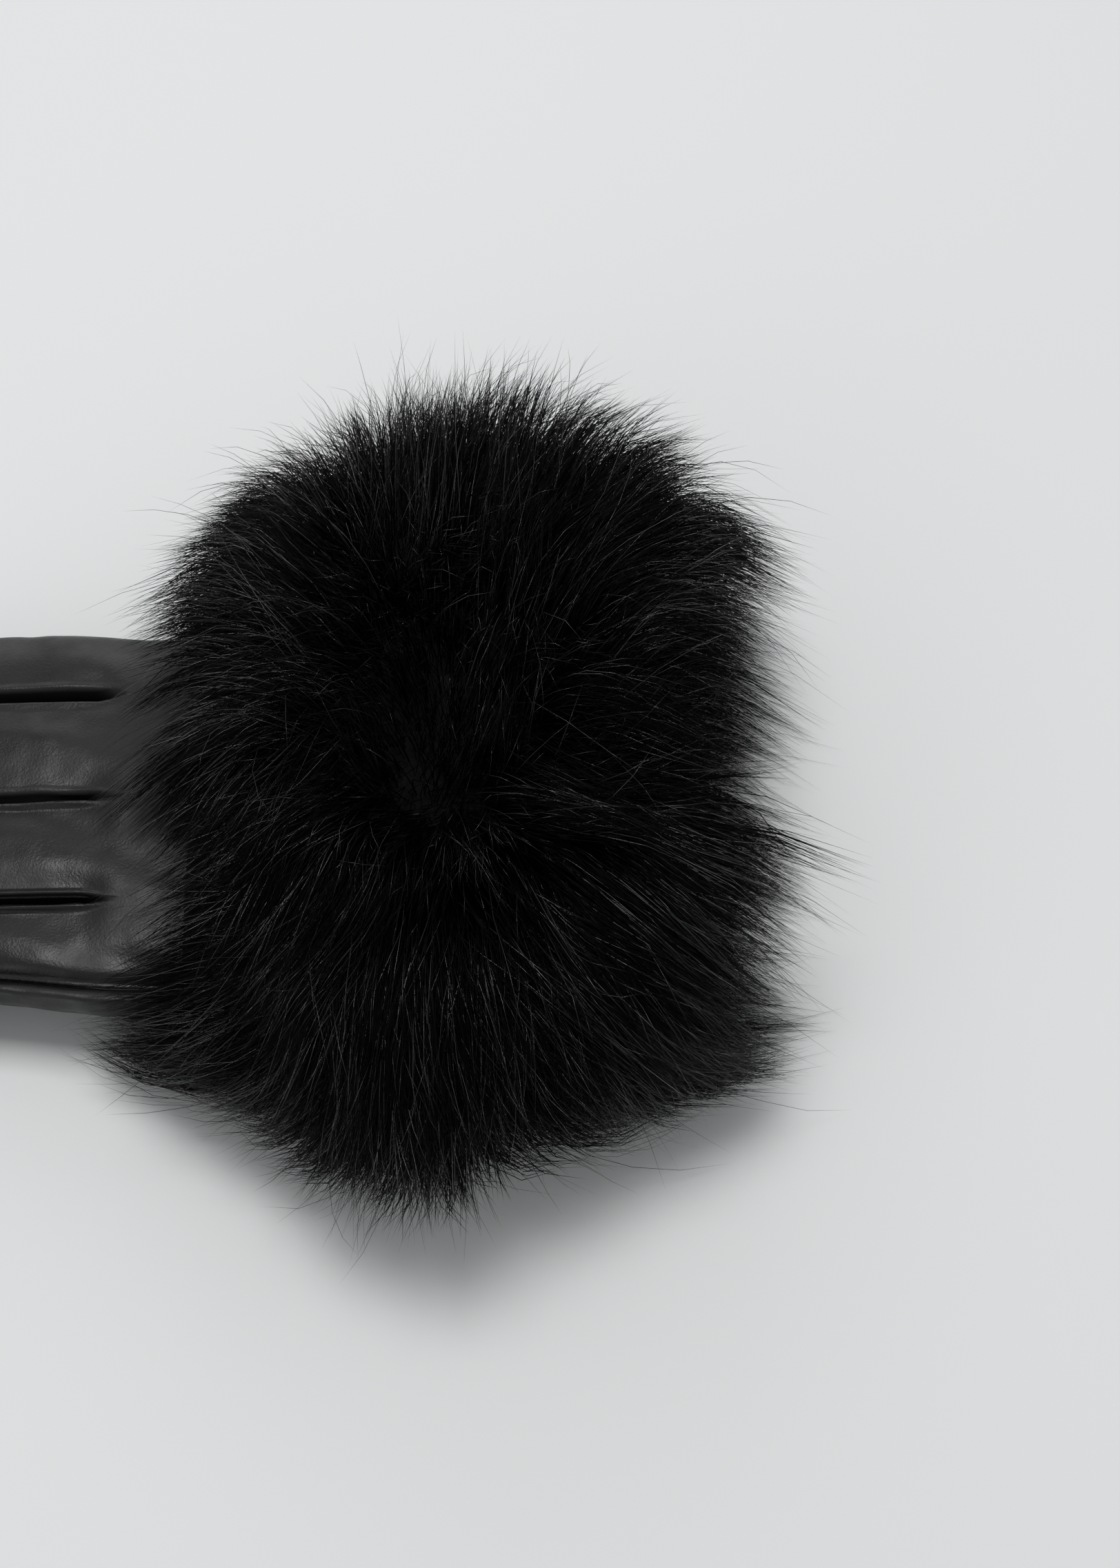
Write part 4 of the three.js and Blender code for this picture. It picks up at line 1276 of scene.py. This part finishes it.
def make_locks():
    """Roots on a jittered grid round the band, and the move of each lock's point by the drifts.
    Under the cuff only its two ends get locks, because its middle lies on the floor."""
    i, k = np.meshgrid(np.arange(LOCKS_ALONG), np.arange(LOCKS_AROUND), indexing="ij")
    jitter = fur_dice.uniform(-0.5, 0.5, (2, i.size))
    x = rows_over_form((i.ravel() + 0.5 + LOCK_JITTER * jitter[0]) / LOCKS_ALONG)
    around = (k.ravel() + 0.5 + LOCK_JITTER * jitter[1]) / LOCKS_AROUND
    angle = mix(AROUND_FROM, AROUND_TO, around)
    shown = (angle > UNDER_TO) | (x < HIDDEN_UNDER[0]) | (x > HIDDEN_UNDER[1])
    x, angle = x[shown], angle[shown]
    count = len(x)
    surface, _ = fur_point(x, angle, 1.0)
    drift_x = DRIFT_X * ripples(surface, DRIFT_LENGTH, seed=41)
    drift_a = DRIFT_ANGLE * ripples(surface, DRIFT_LENGTH, seed=42)
    drift_x += SWEEP_X * ripples(surface, SWEEP_LENGTH, seed=44)
    drift_a += SWEEP_ANGLE * ripples(surface, SWEEP_LENGTH, seed=45)
    drift_x += fur_dice.normal(0, LOCK_SCATTER_X, count)
    drift_a += fur_dice.normal(0, LOCK_SCATTER_ANGLE, count)
    reach = LOCK_REACH + LOCK_STEP * ripples(surface, LOCK_STEP_LENGTH, seed=43)
    reach += fur_dice.normal(0, LOCK_REACH_SCATTER, count)
    reach += FAR_REACH * ease((FAR_FROM - angle) / REACH_EASE)
    middle = bell(x - NEAR_REACH_X, NEAR_REACH_LENGTH)
    reach += NEAR_REACH * ease((angle - NEAR_FROM) / REACH_EASE) * middle
    gather = np.clip(fur_dice.normal(GATHER, GATHER_SCATTER, count), *GATHER_LIMITS)
    bow = fur_dice.normal(0, LOCK_BOW, (count, 3))
    return {"x": x, "angle": angle, "drift_x": drift_x, "drift_a": drift_a,
            "reach": reach, "gather": gather, "bow": bow, "gloss": lock_gloss(surface)}


locks = make_locks()
print("locks:", len(locks["x"]))

# %% Hairs of the locks
BEND_X, BEND_ANGLE, BEND_SHARE = 0.42, 0.3, 0.8
FUR_FLOOR = 0.5
FUR_CEILING, FUR_FAR_LIMIT, FUR_NEAR_LIMIT, FUR_MOUTH_LIMIT = 84.0, 98.0, 99.0, 84.0
LIMIT_SOFTNESS = 6.0
HAND_CLEARANCE, LEAST_DISTANCE = 1.2, 0.2
NEEDLE_SIDES, NEEDLE_TAPER = 3, 0.75


def hair_paths(lock, hair_x, hair_a, length, bow, tip_scatter, start, steps):
    """The bow of each hair: a curve from its root on the band over a bend point to its tip, which
    is mixed between its own place on the outer form and the point of its lock. Gives steps + 1
    points for each hair, from the share 'start' of the curve to its tip."""
    root_x = BAND_HALF_LENGTH * hair_x / FUR_LAST_X
    combed = comb(hair_x, hair_a)
    root, _ = fur_point(root_x, hair_a - combed, 0.0)
    rise, _ = fur_point(mix(root_x, hair_x, BEND_X), hair_a - combed * (1 - BEND_ANGLE), 1.0)
    reach = (locks["reach"][lock] * length)[..., None]
    own, _ = fur_point(hair_x + locks["drift_x"][lock], hair_a + locks["drift_a"][lock], 1.0)
    point_x = locks["x"][lock] + locks["drift_x"][lock]
    point, _ = fur_point(point_x, locks["angle"][lock] + locks["drift_a"][lock], 1.0)
    tip = mix(own, point, locks["gather"][lock][..., None])
    tip = root + (tip - root) * reach + tip_scatter
    bend = mix(root, rise, BEND_SHARE * reach) + locks["bow"][lock] + bow
    return clear_of_hand(open_hollows(curve(root, bend, tip, start, steps)))


def curve(root, bend, tip, start, steps):
    """steps + 1 points for each hair along its curve, from the share 'start' to its tip."""
    t = np.linspace(start, 1, steps + 1)[None, :, None]
    root, bend, tip = root[:, None], bend[:, None], tip[:, None]
    return (1 - t) ** 2 * root + 2 * t * (1 - t) * bend + t**2 * tip


def open_hollows(path):
    """Dents in the pile: a point near a hollow's middle is pushed in against the surface's way out
    and away from the middle, by the bell of its distance over the hollow's own width."""
    for x, degrees, radius, depth in HOLLOWS:
        middle, out = fur_point(np.array([x]), np.radians([degrees]), 1.0)
        way_out = np.append(0.0, out[0])
        away = path - middle[0]
        near = bell(np.linalg.norm(away, axis=-1, keepdims=True), radius * HOLLOW_WIDTH)
        path = path + near * (HOLLOW_PUSH * away - depth * way_out)
    return path


def soft_limit(value, limit):
    """Values past a limit are eased back: what is over it grows by a tanh to the softness."""
    over = np.maximum(value - limit, 0) / LIMIT_SOFTNESS
    return np.minimum(value, limit) + LIMIT_SOFTNESS * np.tanh(over)


def clear_of_hand(path):
    """Pushes points that would lie in the leather out to a clearance above it, straight away from
    the middle of the hand, lifts what would lie under the floor and keeps the longest tips
    short. A squared oval's distance is 1 on the oval and less inside it."""
    x = path[..., 0]
    y, z, half_y, half_z = hand_oval(x)
    dy, dz = path[..., 1] - y, path[..., 2] - z
    n = HAND_SQUARENESS
    across, up = np.abs(dy / (half_y + HAND_CLEARANCE)), np.abs(dz / (half_z + HAND_CLEARANCE))
    distance = (across**n + up**n) ** (1 / n)
    push = np.where(x < HEM_X, 1 / np.clip(distance, LEAST_DISTANCE, 1.0), 1.0)
    sideways = soft_limit(y + dy * push, FUR_FAR_LIMIT)
    path[..., 1] = -soft_limit(-sideways, FUR_NEAR_LIMIT)
    path[..., 2] = soft_limit(np.maximum(z + dz * push, FUR_FLOOR), FUR_CEILING)
    path[..., 0] = soft_limit(x, FUR_MOUTH_LIMIT)
    return path


def needles(paths, radius, dice):
    """Three-sided needles round the paths: at each point but the tip three corners at right
    angles to the path, all turned by one random angle, and the tip is a single corner."""
    count, steps = paths.shape[0], paths.shape[1] - 1
    ahead = unit(np.diff(paths, axis=1))
    ahead = np.concatenate([ahead, ahead[:, -1:]], axis=1)[:, :steps]
    side = unit(np.cross(ahead, unit(dice.normal(size=(count, 1, 3)))))
    other = np.cross(ahead, side)
    taper = np.linspace(0, 1, steps + 1)[:steps]
    size = radius[:, None] * (1 - NEEDLE_TAPER * taper**2)
    turn = (2 * np.pi * np.arange(NEEDLE_SIDES) / NEEDLE_SIDES)[:, None]
    ring = side[:, :, None] * np.cos(turn) + other[:, :, None] * np.sin(turn)
    rings = paths[:, :steps, None] + ring * size[:, :, None, None]
    points = np.concatenate([rings.reshape(count, -1, 3), paths[:, -1:]], axis=1)
    quads = grid_quads(steps, NEEDLE_SIDES, wrap=True)
    corner, next_corner = np.arange(NEEDLE_SIDES), (np.arange(NEEDLE_SIDES) + 1) % NEEDLE_SIDES
    last, tip = NEEDLE_SIDES * (steps - 1), NEEDLE_SIDES * steps
    tips = np.stack([corner + last, next_corner + last, np.full(NEEDLE_SIDES, tip)], -1)
    tris = np.concatenate([tips, [corner[::-1]]])
    start = (np.arange(count) * points.shape[1])[:, None, None]
    all_quads = (quads[None] + start).reshape(-1, 4)
    all_tris = (tris[None] + start).reshape(-1, 3)
    return points.reshape(-1, 3), all_quads, all_tris


TONE_LENGTH = 26.0
TONE_MIDDLE, TONE_SWING = 0.5, 0.7
TONE_RARITY = 3
TONE_LEAST, TONE_PATCH = 0.4, 1.4


def hair_piece(name, paths, radius, dice, material):
    """One joined mesh of needles, with the tone of each hair and the way along it stored. A tone
    has a random part and one that changes slowly over the cuff."""
    points, quads, tris = needles(paths, radius, dice)
    piece = new_piece(name, points, quads, tris)
    steps = paths.shape[1] - 1
    per_hair = np.append(np.repeat(np.linspace(0, 1, steps + 1)[:steps], NEEDLE_SIDES), 1.0)
    along = np.tile(per_hair, len(paths))
    patch = TONE_MIDDLE + TONE_SWING * ripples(paths[:, -1], TONE_LENGTH, seed=46)
    rare = dice.uniform(0, 1, len(paths)) ** TONE_RARITY
    tone = np.clip(rare * (TONE_LEAST + TONE_PATCH * np.clip(patch, 0, 1)), 0, 1)
    tone = np.repeat(tone, len(per_hair))
    for key, values in (("along", along), ("tone", tone)):
        layer = piece.data.attributes.new(key, "FLOAT", "POINT")
        layer.data.foreach_set("value", values.astype(np.float32))
    finish_piece(piece, material, "cuff_fur", "fur_cuff")
    return piece


# %% The materials and places of the locks' hairs
# Painted shade: both kinds of hair are darkest at the root, deep inside the pile.
PILE_ROOT_PAINTED_SHADE, PILE_TIP = (0.0005, 0.0005, 0.0006), (0.0035, 0.0035, 0.0038)
GUARD_ROOT_PAINTED_SHADE, GUARD_TIP_PAINTED_HIGHLIGHT = (0.002, 0.002, 0.0022), (0.05, 0.05, 0.052)
HAIR_SPREAD_X, HAIR_SPREAD_ANGLE = 4.2, 0.085
SHORTENING, SHORT_RARITY = 0.42, 2.2
HAIR_BOW, HAIR_SCATTER = 1.5, 1.3
HAIR_RADIUS = (0.10, 0.17)

pile_hair = fur_material("pile_hair", PILE_ROOT_PAINTED_SHADE, PILE_TIP, roughness=0.42, specular=0.08)
# The glossy guard hairs get a much lighter tip colour: a painted highlight for strands that catch the
# light.
guard_hair_painted_highlight = fur_material("guard_hair_painted_highlight", GUARD_ROOT_PAINTED_SHADE, GUARD_TIP_PAINTED_HIGHLIGHT, roughness=0.25, specular=0.95)

hair_count = len(locks["x"]) * HAIRS_PER_LOCK
of_lock = np.repeat(np.arange(len(locks["x"])), HAIRS_PER_LOCK)
hair_x = locks["x"][of_lock] + fur_dice.normal(0, HAIR_SPREAD_X, hair_count)
hair_x = np.clip(hair_x, FUR_FIRST_X, FUR_LAST_X)
hair_a = locks["angle"][of_lock] + fur_dice.normal(0, HAIR_SPREAD_ANGLE, hair_count)
hair_length = 1 - SHORTENING * fur_dice.uniform(0, 1, hair_count) ** SHORT_RARITY
hair_bow = fur_dice.normal(0, HAIR_BOW, (hair_count, 3))
hair_scatter = fur_dice.normal(0, HAIR_SCATTER, (hair_count, 3))
hair_radius = fur_dice.uniform(*HAIR_RADIUS, hair_count)

# %% The five parts of the pile
HAND_END_X, MOUTH_END_X = -41, 46
TOP_FROM, TOP_TO = np.radians(58), np.radians(122)

lock_x, lock_a = locks["x"][of_lock], locks["angle"][of_lock]
between_ends = (lock_x >= HAND_END_X) & (lock_x <= MOUTH_END_X)
pile_parts = {
    "fur_hand_end": lock_x < HAND_END_X,
    "fur_mouth_end": lock_x > MOUTH_END_X,
    "fur_far_side": between_ends & (lock_a < TOP_FROM),
    "fur_near_side": between_ends & (lock_a > TOP_TO),
    "fur_top": between_ends & (lock_a >= TOP_FROM) & (lock_a <= TOP_TO),
}
for name, chosen in pile_parts.items():
    number = np.flatnonzero(chosen)
    paths = hair_paths(
        of_lock[number], hair_x[number], hair_a[number], hair_length[number],
        hair_bow[number], hair_scatter[number], start=0.3, steps=3,
    )
    hair_piece(name, paths, hair_radius[number], fur_dice, pile_hair)

# %% Glossy guard hairs, with lighter tips as painted highlight
SPREAD_RADIUS = 50.0
GUARD_HAIRS = 6800


def loose_hairs(count, chance, spread, length, scatter, start, steps):
    """Paths of hairs that belong to a lock but stray from it: round the cuff by the spread in
    radians, along it by as much on a radius, and at the tip by the scatter. The chance says how
    often each lock is chosen."""
    lock = fur_dice.choice(len(chance), count, p=chance / chance.sum())
    x = locks["x"][lock] + fur_dice.normal(0, SPREAD_RADIUS * spread, count)
    x = np.clip(x, FUR_FIRST_X, FUR_LAST_X)
    angle = locks["angle"][lock] + fur_dice.normal(0, spread, count)
    bow, tip = fur_dice.normal(0, scatter, (2, count, 3))
    return hair_paths(lock, x, angle, fur_dice.uniform(*length, count), bow, tip, start, steps)


guard_paths = loose_hairs(
    GUARD_HAIRS, locks["gloss"],
    spread=0.10, length=(0.8, 1.05), scatter=3.2, start=0.28, steps=4,
)
guard_radius = fur_dice.uniform(0.06, 0.105, GUARD_HAIRS)
hair_piece("fur_guard_hairs", guard_paths, guard_radius, fur_dice, guard_hair_painted_highlight)

# %% Short, thick under hairs that close the two ends
END_FROM_X = 38
END_HAIRS = 5800

end_locks = (np.abs(locks["x"]) > END_FROM_X).astype(float)
end_paths = loose_hairs(
    END_HAIRS, end_locks,
    spread=0.06, length=(0.4, 0.85), scatter=1.2, start=0.25, steps=2,
)
end_radius = fur_dice.uniform(0.2, 0.32, END_HAIRS)
hair_piece("fur_end_under_hairs", end_paths, end_radius, fur_dice, pile_hair)

# %% Swaths that lie over the pile
SWATHS = [  # root x and angle, tip x and angle in degrees, width, hairs
    (18.0, 87, 64.0, 100, 3.0, 170),
    (12.0, 98, 46.0, 117, 6.0, 230),
    (18.0, 112, 66.0, 158, 6.0, 320),
    (12.0, 118, 48.0, 172, 7.0, 260),
    (-8.0, 112, -12.0, 165, 7.0, 260),
    (4.0, 116, 12.0, 172, 6.0, 240),
    (-16.0, 92, -46.0, 120, 6.0, 200),
    (-14.0, 102, -40.0, 150, 7.0, 240),
]
SWATH_SHARE, SWATH_SHARE_SCATTER = 0.9, 0.03
SWATH_ROOT_SHARE = 0.35
SWATH_RADIUS = 80.0
SWATH_NARROWING, SWATH_SCATTER = 0.55, 2.2
SWATH_SHORTENING = 0.55
SWATH_BEND = 0.35
SWATH_STEPS = 5
GLOSSY_SHARE = 0.16


def swath_paths():
    """Bundles of long hairs that come up out of the pile, bend over and lie on it, from side by
    side at the root to close together at the tip. A distance round the cuff is turned into an
    angle by a radius."""
    rows = np.array(SWATHS)
    pick = np.repeat(np.arange(len(rows)), rows[:, 5].astype(int))
    x0, a0, x1, a1, width, _ = rows[pick].T
    a0, a1 = np.radians(a0), np.radians(a1)
    side_x, side_y = fur_dice.normal(0, 1, (2, len(pick))) * width
    scatter_x, scatter_y = fur_dice.normal(0, SWATH_SCATTER, (2, len(pick)))
    tip_x, tip_y = SWATH_NARROWING * side_x + scatter_x, SWATH_NARROWING * side_y + scatter_y
    late = 1 - SWATH_SHORTENING * fur_dice.uniform(0, 1, len(pick))
    root, _ = fur_point(x0 + side_x, a0 + side_y / SWATH_RADIUS, SWATH_ROOT_SHARE)
    bend_x = mix(x0, x1, SWATH_BEND * late) + side_x
    bend_a = mix(a0, a1, SWATH_BEND * late) + side_y / SWATH_RADIUS
    bend_share = SWATH_SHARE + fur_dice.normal(0, SWATH_SHARE_SCATTER, len(pick))
    bend, _ = fur_point(bend_x, bend_a, bend_share)
    tip_a = mix(a0, a1, late) + tip_y / SWATH_RADIUS
    tip, _ = fur_point(mix(x0, x1, late) + tip_x, tip_a, SWATH_SHARE)
    return clear_of_hand(open_hollows(curve(root, bend, tip, start=0.0, steps=SWATH_STEPS)))


swaths = swath_paths()
swath_radius = fur_dice.uniform(0.09, 0.15, len(swaths))
glossy = fur_dice.uniform(0, 1, len(swaths)) < GLOSSY_SHARE
hair_piece("fur_swaths", swaths[~glossy], swath_radius[~glossy], fur_dice, pile_hair)
hair_piece("fur_swath_guard_hairs", swaths[glossy], swath_radius[glossy], fur_dice, guard_hair_painted_highlight)

# %% Long single hairs
STRAY_HAIRS = 1600

stray_paths = loose_hairs(
    STRAY_HAIRS, locks["gloss"],
    spread=0.15, length=(0.98, 1.1), scatter=4.2, start=0.28, steps=5,
)
stray_radius = fur_dice.uniform(0.06, 0.1, STRAY_HAIRS)
hair_piece("fur_stray_hairs", stray_paths, stray_radius, fur_dice, guard_hair_painted_highlight)
